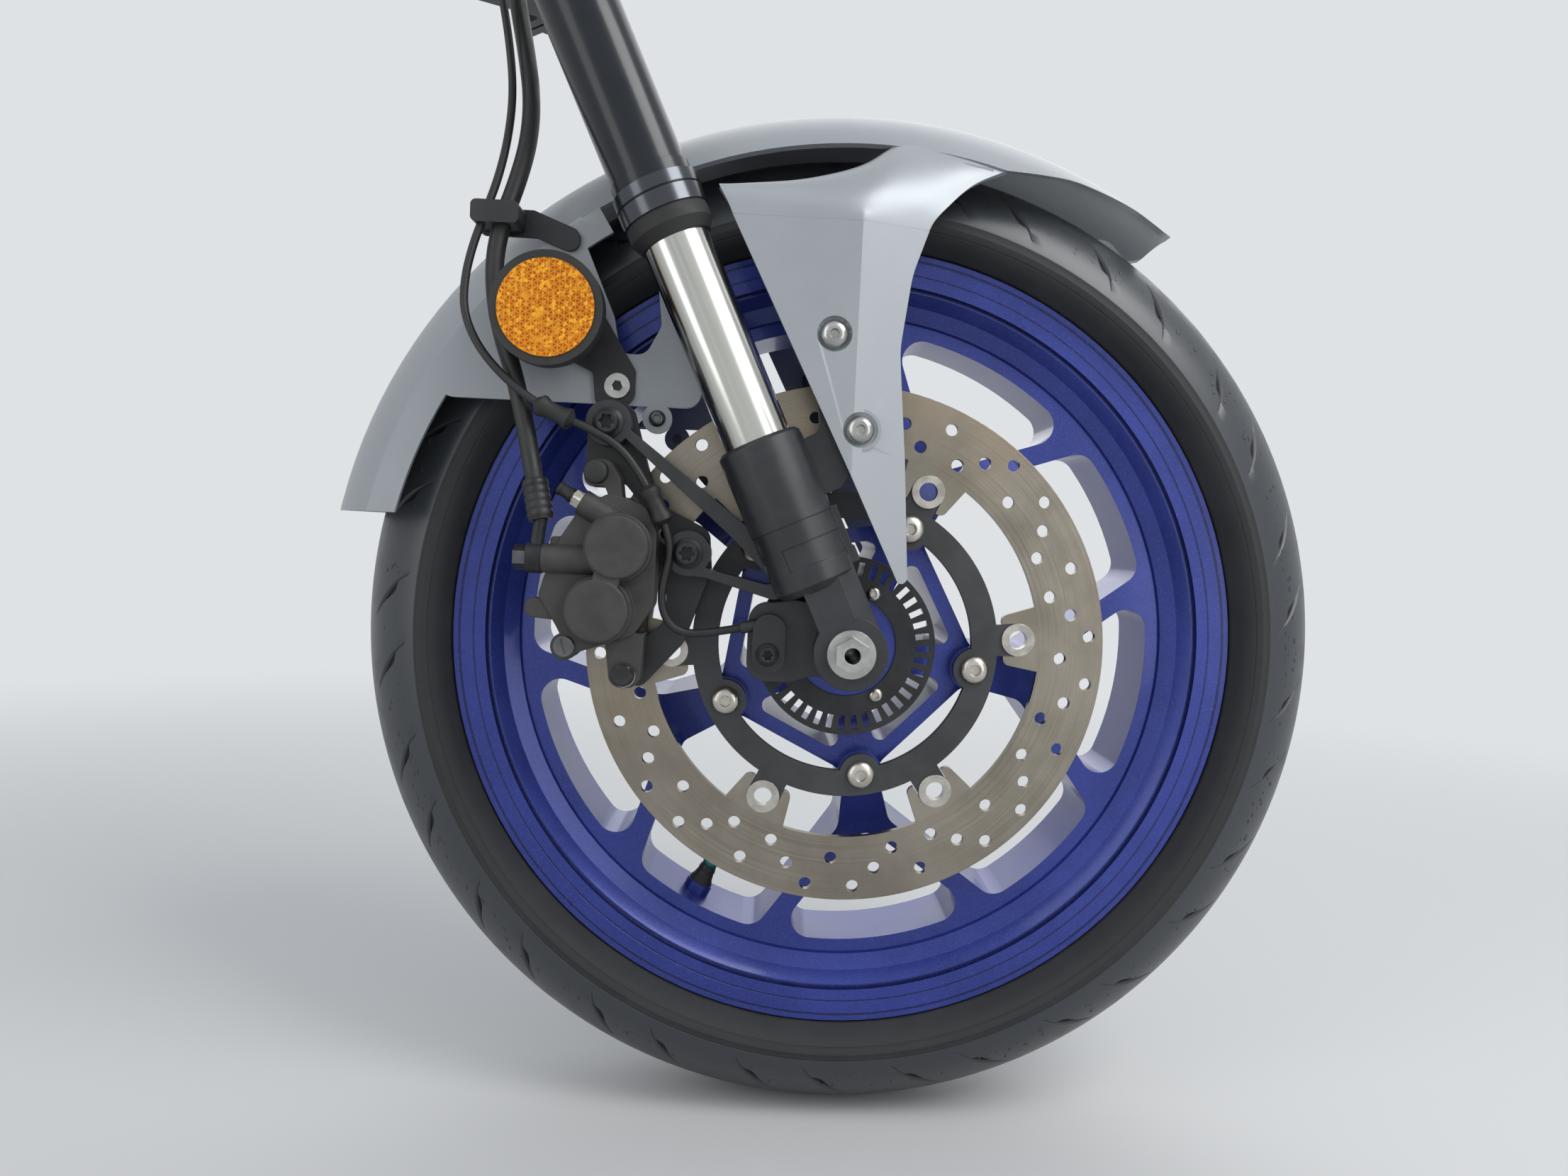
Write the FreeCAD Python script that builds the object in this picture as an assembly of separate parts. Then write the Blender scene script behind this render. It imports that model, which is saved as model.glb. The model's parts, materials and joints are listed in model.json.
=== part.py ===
import FreeCAD, Part
import math
import os

# Front end of a sport motorcycle: fork, wheel, single disc brake and mudguard, hung from the
# steering head tube. Millimetres. X points forward, Y to the rider's left, Z up.
# The pieces are laid out about the wheel axle. The whole is then moved so that the origin is
# at the middle of the head tube, on the steering axis.

V = FreeCAD.Vector
Y_AXIS = V(0, 1, 0)

# Steering geometry
RAKE = 25.0
STEER_OFFSET = 37.3
LEG_OFFSET = 2.7
LEG_SPACING = 190.0

# Heights along the leg, measured from the level of the axle
CASTING_TOP = 124.0
INNER_TUBE_FOOT = 63.0
INNER_TUBE_LENGTH = 389.0
RING_FOOT = 253.0
RING_HEIGHT = 17.0
RING_GROOVE_RISE = 9.5
BAND_HEIGHT = 7.0
SEAL_HEIGHT = 14.0
SEAL_LIP_HEIGHT = 6.0
LOWER_YOKE_FOOT = 466.0
YOKE_SPACING = 174.0

# Fork tubes
INNER_TUBE_D = 37.0
INNER_TUBE_WALL = 2.6
OUTER_TUBE_D = 43.0
HANDLEBAR_SEAT_D = 42.0
HANDLEBAR_SEAT_LENGTH = 38.0
BAND_D = 44.4
RING_D = 48.0
RING_GROOVE_DEPTH = 0.5
RING_GROOVE_WIDTH = 0.7
TUBE_GAP = 0.15
SEAL_D = 46.0
SEAL_LIP_D = 39.4
CAP_HEX = 24.0
CAP_HEX_HEIGHT = 6.0
CAP_DEPTH = 18.0
CAP_BRIM_D = 40.0
CAP_BRIM = 2.0

# Yokes, stem and head tube
YOKE_HEIGHT = 34.0
UPPER_YOKE_HEIGHT = 22.0
YOKE_CLAMP_D = 58.0
YOKE_EAR_LENGTH = 12.0
YOKE_EAR_HALF = 10.0
YOKE_SLIT = 2.5
PINCH_BOLT_D = 8.4
YOKE_HUB_D = 58.0
HEAD_TUBE_D = 60.0
HEAD_TUBE_WALL = 6.0
HEAD_CUP_D = 66.0
HEAD_CUP_LENGTH = 16.0
HEAD_GAP = 3.0
STEM_D = 28.0
STEM_BORE_D = 17.0
STEM_TOP_GAP = 0.3
STEM_NUT_D = 34.0
STEM_NUT_HEIGHT = 14.0
ADJUSTER_D = 44.0
ADJUSTER_HEIGHT = 9.0

# Wheel, measured from the axle
RIM_SEAT_R = 218.3
RIM_LIP_R = RIM_SEAT_R + 13.7
RIM_WELL_R = RIM_SEAT_R - 17.3
RIM_INNER_R = RIM_SEAT_R - 27.3
RIM_EDGE_R = RIM_INNER_R + 4.5
RIM_HALF_WIDTH = 40.0
RIM_FLANGE_HALF = 35.0
RIM_SIDE = ((RIM_INNER_R, 17.0), (RIM_EDGE_R, 27.0), (RIM_SEAT_R - 14.3, 31.5),
            (RIM_SEAT_R - 7.8, 37.5), (RIM_SEAT_R - 6.3, 37.5), (RIM_SEAT_R - 5.3, RIM_HALF_WIDTH))
RIM_BED = ((RIM_LIP_R, RIM_FLANGE_HALF + 1), (RIM_SEAT_R, RIM_FLANGE_HALF),
           (RIM_SEAT_R - 0.8, 22.0), (RIM_WELL_R, 13.0))
WINDOW_R = RIM_INNER_R - 4.0
WEB_HALF = 25.0
WEB_SINK = 0.5
SPOKE_RIGHT = ((40.0, -55.0), (90.0, -52.0), (112.0, -34.0), (150.0, -27.0))
SPOKE_LEFT = ((150.0, 26.0), (100.0, 30.0), (60.0, 37.0), (40.0, 44.0))
HUB_RIM = 2.0
TYRE_R = 292.0
TYRE_HALF_WIDTH = 54.5
TYRE_CROWN_R = 55.5
TYRE_WALL = 6.5
TYRE_CROWN_THICK = 11.0
TYRE_SEAT_GAP = 0.15
TYRE_CROWN_BANDS = 8
TYRE_BEAD_WIDTH = 11.0
SPOKE_COUNT = 5
SPOKE_ANGLE = 63.6
ARM_SLOPE = 45.0
ARM_APEX_R = 106.0
ARM_WIDTH = 12.0
STEM_FOOT_R = 76.0
STEM_HALF_WIDTH = 10.0
STEM_GROWTH = 0.15
WEB_R = 61.5
WEB_WIDTH = 9.5
HUB_R = 36.0
BOSS_D = 26.0
BOSS_FOOT = 22.0
WINDOW_CORNER_R = 12.0
SMALL_WINDOW_CORNER_R = 5.0
BEARING_D = 40.0
BEARING_WIDTH = 12.0
HUB_BORE_D = 24.0
HUB_RIGHT_Y = -64.0
HUB_LEFT_Y = 46.0
VALVE_ANGLE = -116.4
VALVE_TIP_R = WINDOW_R - 24.0
VALVE_D = 8.0
VALVE_FOOT = 8.0
VALVE_BOSS_D = 17.0
VALVE_BOSS_R = WINDOW_R - 6.0

# Brake disc
DISC_R = 149.0
DISC_INNER_R = 112.0
DISC_OUTER_Y = -64.5
DISC_THICK = 4.5
BOBBIN_COUNT = 6
BOBBIN_R = 99.8
BOBBIN_ANGLE = 4.3
BOBBIN_HOLE_D = 15.2
BOBBIN_BODY_D = 14.8
BOBBIN_FLANGE_D = 19.0
BOBBIN_FLANGE = 1.3
BOBBIN_EYE_D = 10.6
LUG_INNER_R = 91.0
LUG_FOOT_HALF = 14.0
LUG_ROOT_HALF = 20.0
CARRIER_GAP = 0.4
CARRIER_ARM_HALF = 9.0
CARRIER_OUTER_R = 88.0
CARRIER_INNER_R = 73.0
CARRIER_LUG_D = 24.0
CARRIER_BOLT_D = 8.4
VENT_COUNT = 64
VENT_D = 7.0
VENT_FIRST_ANGLE = -1.1
VENT_RADII = (124.5, 141.0, 131.3, 121.3, 137.5, 121.3, 131.3, 141.0)

# Wheel speed ring and sensor
RING_OUTER_R = 51.5
RING_THICK = 1.5
RING_SLOTS = 40
RING_SLOT_WIDTH = 3.4
RING_SLOT_INNER_R = 40.5
RING_SLOT_OUTER_R = 48.5
SENSOR_X = -44.0
SENSOR_Z = 1.5
SENSOR_GAP = 1.3
SENSOR_NOSE_D = 14.0
SENSOR_EAR_Y = 88.0

# Axle
AXLE_D = 17.0
AXLE_BORE_D = 8.6
AXLE_FLANGE_D = 26.0
AXLE_FLANGE_THICK = 4.0
AXLE_HEX = 17.0
AXLE_HEX_HEIGHT = 7.0
SPACER_D = 26.0
SHAFT_GAP = 0.05

# Lower leg castings
COLLAR_D = 47.0
COLLAR_FOOT = 76.0
COLLAR_BEVEL = 2.0
COLLAR_STEP = 0.6
BARREL_FOOT = 38.0
BARREL_BEVEL = 4.0
BARREL_PANEL = (52.0, 64.5)
BARREL_PANEL_EDGE = -14.0
BARREL_PANEL_DEPTH = 0.8
AXLE_BOSS_D = 40.0
CASTING_INNER_Y = 74.0
CASTING_OUTER_Y = 113.0
SHANK_TOP = 50.0
SHANK_REAR = -11.5
SHANK_FRONT = 19.5
SHANK_BEVEL = 10.0
EAR_PLAN = ((12.0, 44.0), (24.5, 44.0), (24.5, 52.5), (23.4, 53.5), (23.4, 77.0), (12.0, 77.0))
EAR_Y = (82.0, 98.0)
ARM_WEB_Y = (-86.0, -79.5)
ARM_RIB_Y = (-93.0, -79.5)
ARM_POCKET = 3.5
CALIPER_BOLTS = ((-136.6, 118.0), (-90.5, 49.0))
CALIPER_BOSS_D = 25.0
# Side outlines: x, z and the corner's rounding
ARM_WEB = ((-52, 99, 0), (-69, 95, 0), (-86, 92.5, 12), (-128, 128, 6), (-146, 126, 6),
           (-146, 108, 6), (-102, 70, 10), (-102, 38, 6), (-80, 36, 0), (-42.5, 25.5, 6),
           (-20, 34, 0))
ARM_BAR = ((-133, 121, 0), (-130, 112.5, 0), (-66, 58.1, 0), (-45.2, 38, 4), (-32, 40, 0),
           (-32, 52, 0), (-50, 58.8, 0))
ARM_FLANGE = ((-104, 107.7, 0), (-104, 99, 0), (-80, 83, 4), (-66, 85, 0), (-58, 90, 0),
              (-58, 97.6, 0), (-69, 95, 0), (-86, 92.5, 12))
ARM_SILL = ((-92, 46, 0), (-92, 37.1, 0), (-80, 36, 0), (-42.5, 25.5, 6), (-24, 32.5, 0),
            (-24, 38, 0), (-47, 34, 4), (-78, 40.7, 0))
ARM_RIBS = (ARM_BAR, ARM_FLANGE, ARM_SILL)
ARM_SLOT = ((-94, 78, 1), (-64, 52, 1), (-46.5, 37.5, 1.5), (-51, 35.6, 2), (-78, 41.6, 1.5),
            (-76, 44, 1), (-61.5, 44.8, 2.5), (-89, 69.7, 2))
SENSOR_EAR = ((-20, -16, 6), (-4, -16, 0), (-4, 22, 0), (-30, 26, 0), (-56, 22, 11),
              (-56, -20, 11), (-32, -20, 11))
EAR_BRACKET = ((-58, 96, 0), (-72, 97, 6), (-92, 108, 10), (-113, 132, 7), (-121, 124, 6),
               (-113, 114, 6), (-88, 88, 14), (-58, 82, 0))

# Brake caliper
PISTONS = ((-127.5, 50.8), (-137.0, 16.2))
PISTON_CAP_R = 17.2
CALIPER_OUTER_Y = -97.0
CALIPER_SHOULDER_Y = -104.0
PISTON_CAP_Y = -110.0
PISTON_CAP_BEVEL = 1.0
CAP_NECK_WIDTH = 14.3
CAP_NECK_DROP = 1.0
SHOULDER_R = 18.6
CALIPER_INNER_Y = -40.0
# Side outlines: x, z and the corner's rounding
CALIPER_BLOCK = ((-107.5, 60, 8), (-114, 74, 8), (-134, 80, 8), (-150, 70, 8), (-160, 54, 6),
                 (-168, 32, 5), (-170.5, 23, 3), (-160, 6, 4), (-152, -9, 4), (-118, 3, 8),
                 (-107.5, 20, 8))
UPPER_ARM = ((-134.2, 98, 6.7), (-148, 98, 6.7), (-148, 83, 5), (-136.5, 83, 2), (-132.5, 73.5, 2),
             (-132, 56, 0), (-112, 56, 0), (-118, 67.5, 5), (-126.8, 77.5, 3), (-128.2, 88, 5))
LOWER_ARM = ((-130, -26, 7), (-114, -26, 7), (-112, 4, 0), (-134, 4, 0))
SIDE_LUG = ((-177.7, 20.8, 4.5), (-177.7, 10.8, 4.5), (-150, 8.7, 0), (-150, 22, 0))
HOSE_STOP = ((-165, 43, 1), (-165, 55, 2), (-156, 55, 2), (-156, 43, 1))
BLEEDER_TIP = (-148.5, 74.3)
BLEEDER_BOSS_D = 14.4
BLEEDER_BOSS_LENGTH = 24.0
BLEEDER_SLOPE = -29.5
PLUG_BOSS = (-155.4, -4.6)
PLUG_BOSS_D = 15.0
INLET_LENGTH = 30.0
PAD_GAP = 0.5
PAD_THICK = 8.0
PAD_INNER_R = 114.0
PAD_ANGLE = 166.0
PAD_SPREAD = 25.0
PAD_CLEARANCE = 0.6
PISTON_D = 27.0
CALIPER_FACE_Y = -80.0
CALIPER_LOBE_Y = (-96.0, -82.0)
CALIPER_INNER_LEG_R = 119.0
DISC_CLEARANCE = 5.0
BRACKET_Y = (-79.2, -71.0)
BRACKET_PLATE = ((-126, 131, 9), (-150, 131, 9), (-150, 87, 6), (-128, 86, 6), (-104, 58, 8),
                 (-102, 10, 14), (-132, -14, 4), (-130, -27, 7), (-114, -27, 7), (-92, -2, 14),
                 (-78, 40, 8), (-80, 62, 8), (-110, 76, 20))
PIN_D = 8.0
PIN_HEAD = 5.0
PIN_HEAD_D = 13.0
PIN_UPPER = (-141.0, 91.0)
PIN_LOWER = (-122.0, -18.5)

# Mudguard
TYRE_ROOM = 22.0
GUARD_WALL = 3.0
GUARD_HALF_WIDTH = 67.0
GUARD_CROWN_DROP = 34.0
SKIRT_DEPTH = 14.0
GUARD_FRONT_ANGLE = 53.5
SKIRT_FRONT_ANGLE = 122.0
GUARD_REAR_ANGLE = 170.0
TAIL_Z = 64.0
PANEL_FOOT_Z = 130.7
PANEL_TOP_ANGLES = (114.0, 142.0)
PRONG_Y = 97.0
PRONG_WALL = 3.0
PRONG_CREASE_X = -4.0
PRONG_FOLD = 20.0
PRONG_TIP = (27.0, 35.0)
PRONG_CORNER = (-82.0, 247.0)
GUARD_BOLTS = ((-16.4, 170.5), (0.0, 120.0))
GUARD_BOLT_D = 6.4
GUARD_THREAD_D = 5.2
GUARD_RECESS_D = 19.0
GUARD_BOSS_D = 15.0
PANEL_EAR = (-113.0, 124.0)
PANEL_EAR_D = 17.0
BRACKET_THICK = 2.5

# Reflectors
REFLECTOR_X = -170.5
REFLECTOR_Z = 176.0
REFLECTOR_D = 60.8
REFLECTOR_LENS_D = 52.0
REFLECTOR_BACK_Y = 93.0
REFLECTOR_DEPTH = 11.0
REFLECTOR_STUD = (-163.0, 170.0)

# Brake hose and sensor lead
HOSE_D = 10.0
LEAD_D = 4.5
BANJO_X = (-177.0, -169.0)
BANJO_Y = -96.0
BANJO_Z = 43.0
BANJO_EYE_D = 17.0
BANJO_BOLT_D = 10.0
BANJO_BOLT_LENGTH = 22.0
BANJO_HEX = 12.0
BANJO_HEAD = 7.0
NECK_D = 7.2
SLEEVE_D = 13.2
SLEEVE_LENGTH = 22.0
GUIDE_OUTER_Y = -90.0
JOINT_HEIGHT = 16.0
PLUG_D = 14.0
PLUG_LENGTH = 20.0
PLUG_CLIP_HEIGHT = 14.0
SENSOR_OUTLET_D = 6.8
SENSOR_OUTLET_LENGTH = 13.0
HOSE_POINTS = ((-175, -95, 85), (-179, -93, 103), (-184, -90, 122), (-190, -87, 143),
               (-198, -85, 164), (-203, -83.5, 186), (-204, -82, 208), (-200, -80, 229),
               (-194, -76, 250), (-190, -70, 274), (-191, -62, 300), (-197, -54, 328),
               (-204, -47, 356), (-210, -42, 383))
LEAD_POINTS = ((-60, -92, 9.5), (-76, -92.5, 6), (-91, -93, 5), (-100, -94, 10.5),
               (-104, -95, 22), (-102.5, -96, 36), (-99.5, -97, 49), (-102, -98, 62),
               (-109, -99, 76), (-117, -99, 90), (-127, -99, 103), (-141, -99, 112),
               (-157, -98.5, 118), (-175, -98, 126), (-193, -96.5, 139), (-208, -95, 155),
               (-217, -92, 173), (-218, -89.5, 191), (-215, -87, 210), (-209.5, -84, 229),
               (-204, -79, 250), (-201, -72, 275), (-201, -65, 302), (-205, -61, 330),
               (-210.5, -60, 357), (-216, -60.5, 383))

SIN = math.sin(math.radians(RAKE))
COS = math.cos(math.radians(RAKE))
UP = V(-SIN, 0, COS)
FORWARD = V(COS, 0, SIN)
LEG_Y = LEG_SPACING / 2
PANEL_Y = GUARD_HALF_WIDTH - GUARD_WALL
GUARD_R = TYRE_R + TYRE_ROOM + GUARD_WALL
GUARD_EDGE_R = GUARD_R - GUARD_CROWN_DROP
UPPER_YOKE_FOOT = LOWER_YOKE_FOOT + YOKE_SPACING
UPPER_YOKE_TOP = UPPER_YOKE_FOOT + UPPER_YOKE_HEIGHT
TUBE_TOP = UPPER_YOKE_TOP + HANDLEBAR_SEAT_LENGTH
HEAD_MIDDLE = (LOWER_YOKE_FOOT + YOKE_HEIGHT + HEAD_GAP + UPPER_YOKE_FOOT - ADJUSTER_HEIGHT) / 2


def leg(s, n, y):
    """Point at height s up the leg, n forward of the axle line and y to the left."""
    return UP * s + FORWARD * n + V(0, y, 0)


HEAD = leg(HEAD_MIDDLE, -STEER_OFFSET, 0)


def rod(start, direction, radius, length):
    return Part.makeCylinder(radius, length, start, direction)


def pipe(start, direction, outer, inner, length):
    return rod(start, direction, outer, length).cut(rod(start, direction, inner, length))


def across(x, z, y0, y1, radius):
    """Cylinder parallel to the axle between two values of y."""
    return rod(V(x, min(y0, y1), z), Y_AXIS, radius, abs(y1 - y0))


def fuse(shapes):
    result = shapes[0]
    if len(shapes) > 1:
        result = result.multiFuse(shapes[1:])
    return result.removeSplitter()


def rounding(points, i):
    """Start, middle and end of the arc that rounds corner i of an outline."""
    a, b, radius = points[i]
    (ia, ib), (oa, ob) = [
        ((other[0] - a) / math.hypot(other[0] - a, other[1] - b),
         (other[1] - b) / math.hypot(other[0] - a, other[1] - b))
        for other in (points[i - 1], points[(i + 1) % len(points)])]
    half = math.acos(max(-1.0, min(1.0, ia * oa + ib * ob))) / 2
    trim = radius / math.tan(half)
    reach = radius / math.sin(half) - radius
    size = math.hypot(ia + oa, ib + ob) or 1.0
    return ((a + ia * trim, b + ib * trim),
            (a + (ia + oa) / size * reach, b + (ib + ob) / size * reach),
            (a + oa * trim, b + ob * trim))


def face(points, lift):
    """Flat face with corners (a, b, radius), its outline lifted into space."""
    corners = [[lift(*spot) for spot in rounding(points, i)] for i in range(len(points))]
    edges = []
    for i, (start, middle, end) in enumerate(corners):
        if points[i][2]:
            edges.append(Part.Arc(start, middle, end).toShape())
        following = corners[(i + 1) % len(corners)][0]
        if end.distanceToPoint(following) > 1e-6:
            edges.append(Part.LineSegment(end, following).toShape())
    return Part.Face(Part.Wire(edges))


def side_plate(points, y0, y1):
    """Plate seen from the side: corners (x, z, radius), from y0 to y1."""
    low, high = min(y0, y1), max(y0, y1)
    return face(points, lambda x, z: V(x, low, z)).extrude(V(0, high - low, 0))


def leg_plate(points, s0, s1):
    """Plate across the fork: corners (n, y, radius), from height s0 to s1."""
    return face(points, lambda n, y: leg(s0, n, y)).extrude(UP * (s1 - s0))


def turned(profile):
    """Solid of revolution about the axle from points (radius, y)."""
    corners = [V(r, y, 0) for r, y in profile]
    return Part.Face(Part.makePolygon(corners + corners[:1])).revolve(V(0, 0, 0), Y_AXIS, 360)


def spun(shape, angle):
    """Copy turned about the axle so that X goes towards Z."""
    copy = shape.copy()
    copy.rotate(V(0, 0, 0), Y_AXIS, -angle)
    return copy


def polar(radius, angle):
    return radius * math.cos(math.radians(angle)), radius * math.sin(math.radians(angle))


def hexagon(start, direction, flats, length):
    """Hexagonal prism with the given width across flats."""
    side = direction.cross(V(0, 1, 0))
    if side.Length < 0.5:
        side = direction.cross(V(1, 0, 0))
    side.normalize()
    other = direction.cross(side)
    radius = flats / math.sqrt(3)
    corners = [start + side * radius * math.cos(k * math.pi / 3)
               + other * radius * math.sin(k * math.pi / 3) for k in range(6)]
    return Part.Face(Part.makePolygon(corners + corners[:1])).extrude(direction * length)


def save(name, shape):
    """Move a piece to the head tube's origin and write it."""
    moved = shape.copy()
    moved.translate(HEAD * -1)
    moved.exportStep("parts/" + name + ".step")
    print(name, len(moved.Solids), moved.isValid(), round(moved.Volume / 1000, 1), "cm3")


# Wheel

def spoke_windows():
    """Faces of the openings beside the spoke that lies along X, seen from the side."""
    limit = Part.Face(Part.Wire(Part.makeCircle(WINDOW_R, V(0, 0, 0), Y_AXIS)))
    pitch = math.radians(360.0 / SPOKE_COUNT)
    slope = math.tan(math.radians(ARM_SLOPE))
    spread = ARM_WIDTH / 2 / math.sin(math.radians(ARM_SLOPE))
    reach = 2 * WINDOW_R
    fork = [(ARM_APEX_R + spread, 0), (ARM_APEX_R + spread + reach, reach * slope),
            (ARM_APEX_R + spread + reach, -reach * slope)]

    def stem_half(x):
        return STEM_HALF_WIDTH + STEM_GROWTH * (x - STEM_FOOT_R)

    def meets(distance):
        """Where the stem's side meets the web's edge at this distance from the axle."""
        root = stem_half(0)
        x = ((distance - root * math.sin(pitch / 2))
             / (math.cos(pitch / 2) + STEM_GROWTH * math.sin(pitch / 2)))
        return x, stem_half(x)

    def next_spoke(x, z):
        """Mirror image of a point, beside the following spoke."""
        return (x * math.cos(pitch) + z * math.sin(pitch),
                x * math.sin(pitch) - z * math.cos(pitch))

    arm_root = ARM_APEX_R - spread
    knee = (arm_root * slope + stem_half(0)) / (slope - STEM_GROWTH)
    near = [meets(WEB_R + WEB_WIDTH / 2), (knee, stem_half(knee)),
            (arm_root + reach, reach * slope)]
    gap = near + [next_spoke(x, z) for x, z in near[::-1]]
    inside = meets(WEB_R - WEB_WIDTH / 2)[0]
    near = [(HUB_R, STEM_HALF_WIDTH), (inside, STEM_HALF_WIDTH)]
    small = near + [next_spoke(x, z) for x, z in near[::-1]]
    result = []
    for outline, corner in ((fork, WINDOW_CORNER_R), (gap, WINDOW_CORNER_R),
                            (small, SMALL_WINDOW_CORNER_R)):
        window = face([(x, z, 0) for x, z in outline], lambda x, z: V(x, 0, z)).common(limit)
        result.append(window.Faces[0].makeOffset2D(-corner).makeOffset2D(corner))
    return result


def wheel_casting():
    side = list(RIM_SIDE) + [(RIM_LIP_R, RIM_HALF_WIDTH)]
    section = list(RIM_BED) + [(r, -y) for r, y in RIM_BED[::-1]]
    section += [(r, -y) for r, y in side[::-1]] + side
    ring = turned(section)
    inside_ring = RIM_EDGE_R - WEB_SINK
    right_y, left_y = HUB_RIGHT_Y - HUB_RIM, HUB_LEFT_Y
    envelope = [(HUB_BORE_D / 2, right_y), (HUB_R, right_y), *SPOKE_RIGHT,
                (inside_ring, -WEB_HALF), (inside_ring, WEB_HALF), *SPOKE_LEFT,
                (HUB_R - HUB_RIM, left_y), (HUB_BORE_D / 2, left_y)]
    spokes = turned(envelope)
    for window in spoke_windows():
        for k in range(SPOKE_COUNT):
            cutter = window.extrude(V(0, left_y - right_y + 2, 0))
            cutter.translate(V(0, right_y - 1, 0))
            spokes = spokes.cut(spun(cutter, SPOKE_ANGLE + k * 360.0 / SPOKE_COUNT))
    bosses = []
    for k in range(SPOKE_COUNT):
        x, z = polar(STEM_FOOT_R, SPOKE_ANGLE + k * 360.0 / SPOKE_COUNT)
        face_y = DISC_OUTER_Y + DISC_THICK
        bosses.append(across(x, z, face_y, face_y + BOSS_FOOT, BOSS_D / 2))
    x, z = polar(1, VALVE_ANGLE)
    out = V(x, 0, z)
    bosses.append(rod(out * VALVE_BOSS_R, out, VALVE_BOSS_D / 2, RIM_INNER_R + 2 - VALVE_BOSS_R))
    body = fuse([ring, spokes] + bosses)
    body = body.cut(across(0, 0, HUB_RIGHT_Y - 5, HUB_RIGHT_Y + BEARING_WIDTH + 2, BEARING_D / 2))
    body = body.cut(across(0, 0, HUB_LEFT_Y + 5, HUB_LEFT_Y - BEARING_WIDTH - 2, BEARING_D / 2))
    for k in range(SPOKE_COUNT):
        x, z = polar(STEM_FOOT_R, SPOKE_ANGLE + k * 360.0 / SPOKE_COUNT)
        body = body.cut(across(x, z, DISC_OUTER_Y - 5, DISC_OUTER_Y + 25, CARRIER_BOLT_D / 2))
    body = body.cut(rod(out * (VALVE_BOSS_R - 1), out, VALVE_D / 2, RIM_SEAT_R - VALVE_BOSS_R))
    return body.removeSplitter()


def tyre():
    """Hollow section of few lines, because its bands run right round the wheel."""
    centre = TYRE_R - TYRE_CROWN_R
    spread = math.degrees(math.asin(TYRE_HALF_WIDTH / TYRE_CROWN_R))
    crown = []
    for k in range(TYRE_CROWN_BANDS + 1):
        up, across_y = polar(TYRE_CROWN_R, -spread + 2 * spread * k / TYRE_CROWN_BANDS)
        crown.append((centre + up, across_y))
    side_r = crown[0][0]
    lip = RIM_LIP_R + TYRE_SEAT_GAP + 1.0
    seat = RIM_SEAT_R + TYRE_SEAT_GAP
    heel = RIM_FLANGE_HALF - TYRE_SEAT_GAP
    half = [(lip, RIM_HALF_WIDTH + 1), (lip, heel + 0.5), (seat, heel),
            (seat, heel - TYRE_BEAD_WIDTH), (side_r + 4, TYRE_HALF_WIDTH - TYRE_WALL - 1)]
    inside = [(TYRE_R - TYRE_CROWN_THICK, 0)]
    return turned(crown + half + inside + [(r, -y) for r, y in half[::-1]])


def wheel_bearings():
    rings = []
    for y0, y1 in ((HUB_RIGHT_Y, HUB_RIGHT_Y + BEARING_WIDTH),
                   (HUB_LEFT_Y - BEARING_WIDTH, HUB_LEFT_Y)):
        outer = across(0, 0, y0, y1, BEARING_D / 2)
        rings.append(outer.cut(across(0, 0, y0, y1, AXLE_D / 2 + SHAFT_GAP)))
    return Part.makeCompound(rings)


def valve():
    x, z = polar(1, VALVE_ANGLE)
    out = V(x, 0, z)
    stem = rod(out * VALVE_TIP_R, out, VALVE_D / 2 - 0.2, RIM_WELL_R - 2 - VALVE_TIP_R)
    foot = Part.makeCone(VALVE_D / 2, VALVE_D / 2 + 2, VALVE_FOOT,
                         out * (VALVE_BOSS_R - VALVE_FOOT), out)
    return fuse([stem, foot])


# Brake disc

def bobbin_angles():
    return [BOBBIN_ANGLE + k * 360.0 / BOBBIN_COUNT for k in range(BOBBIN_COUNT)]


def disc_plate_y():
    return DISC_OUTER_Y, DISC_OUTER_Y + DISC_THICK


def disc_band():
    y0, y1 = disc_plate_y()
    band = across(0, 0, y0, y1, DISC_R).cut(across(0, 0, y0, y1, DISC_INNER_R))
    lug = side_plate([(LUG_INNER_R, -LUG_FOOT_HALF, 4), (DISC_INNER_R + 3, -LUG_ROOT_HALF, 0),
                      (DISC_INNER_R + 3, LUG_ROOT_HALF, 0), (LUG_INNER_R, LUG_FOOT_HALF, 4)], y0, y1)
    notch = side_plate([(LUG_INNER_R - 9, -CARRIER_ARM_HALF - CARRIER_GAP, 0),
                        (BOBBIN_R, -CARRIER_ARM_HALF - CARRIER_GAP, 0),
                        (BOBBIN_R, CARRIER_ARM_HALF + CARRIER_GAP, 0),
                        (LUG_INNER_R - 9, CARRIER_ARM_HALF + CARRIER_GAP, 0)], y0, y1)
    band = fuse([band] + [spun(lug, angle) for angle in bobbin_angles()])
    cuts = []
    for angle in bobbin_angles():
        x, z = polar(BOBBIN_R, angle)
        cuts.append(spun(notch, angle))
        cuts.append(across(x, z, y0, y1, BOBBIN_HOLE_D / 2))
    for k in range(VENT_COUNT):
        angle = VENT_FIRST_ANGLE - k * 360.0 / VENT_COUNT
        x, z = polar(VENT_RADII[k % len(VENT_RADII)], angle)
        cuts.append(across(x, z, y0, y1, VENT_D / 2))
    return band.cut(Part.makeCompound(cuts)).removeSplitter()


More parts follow.
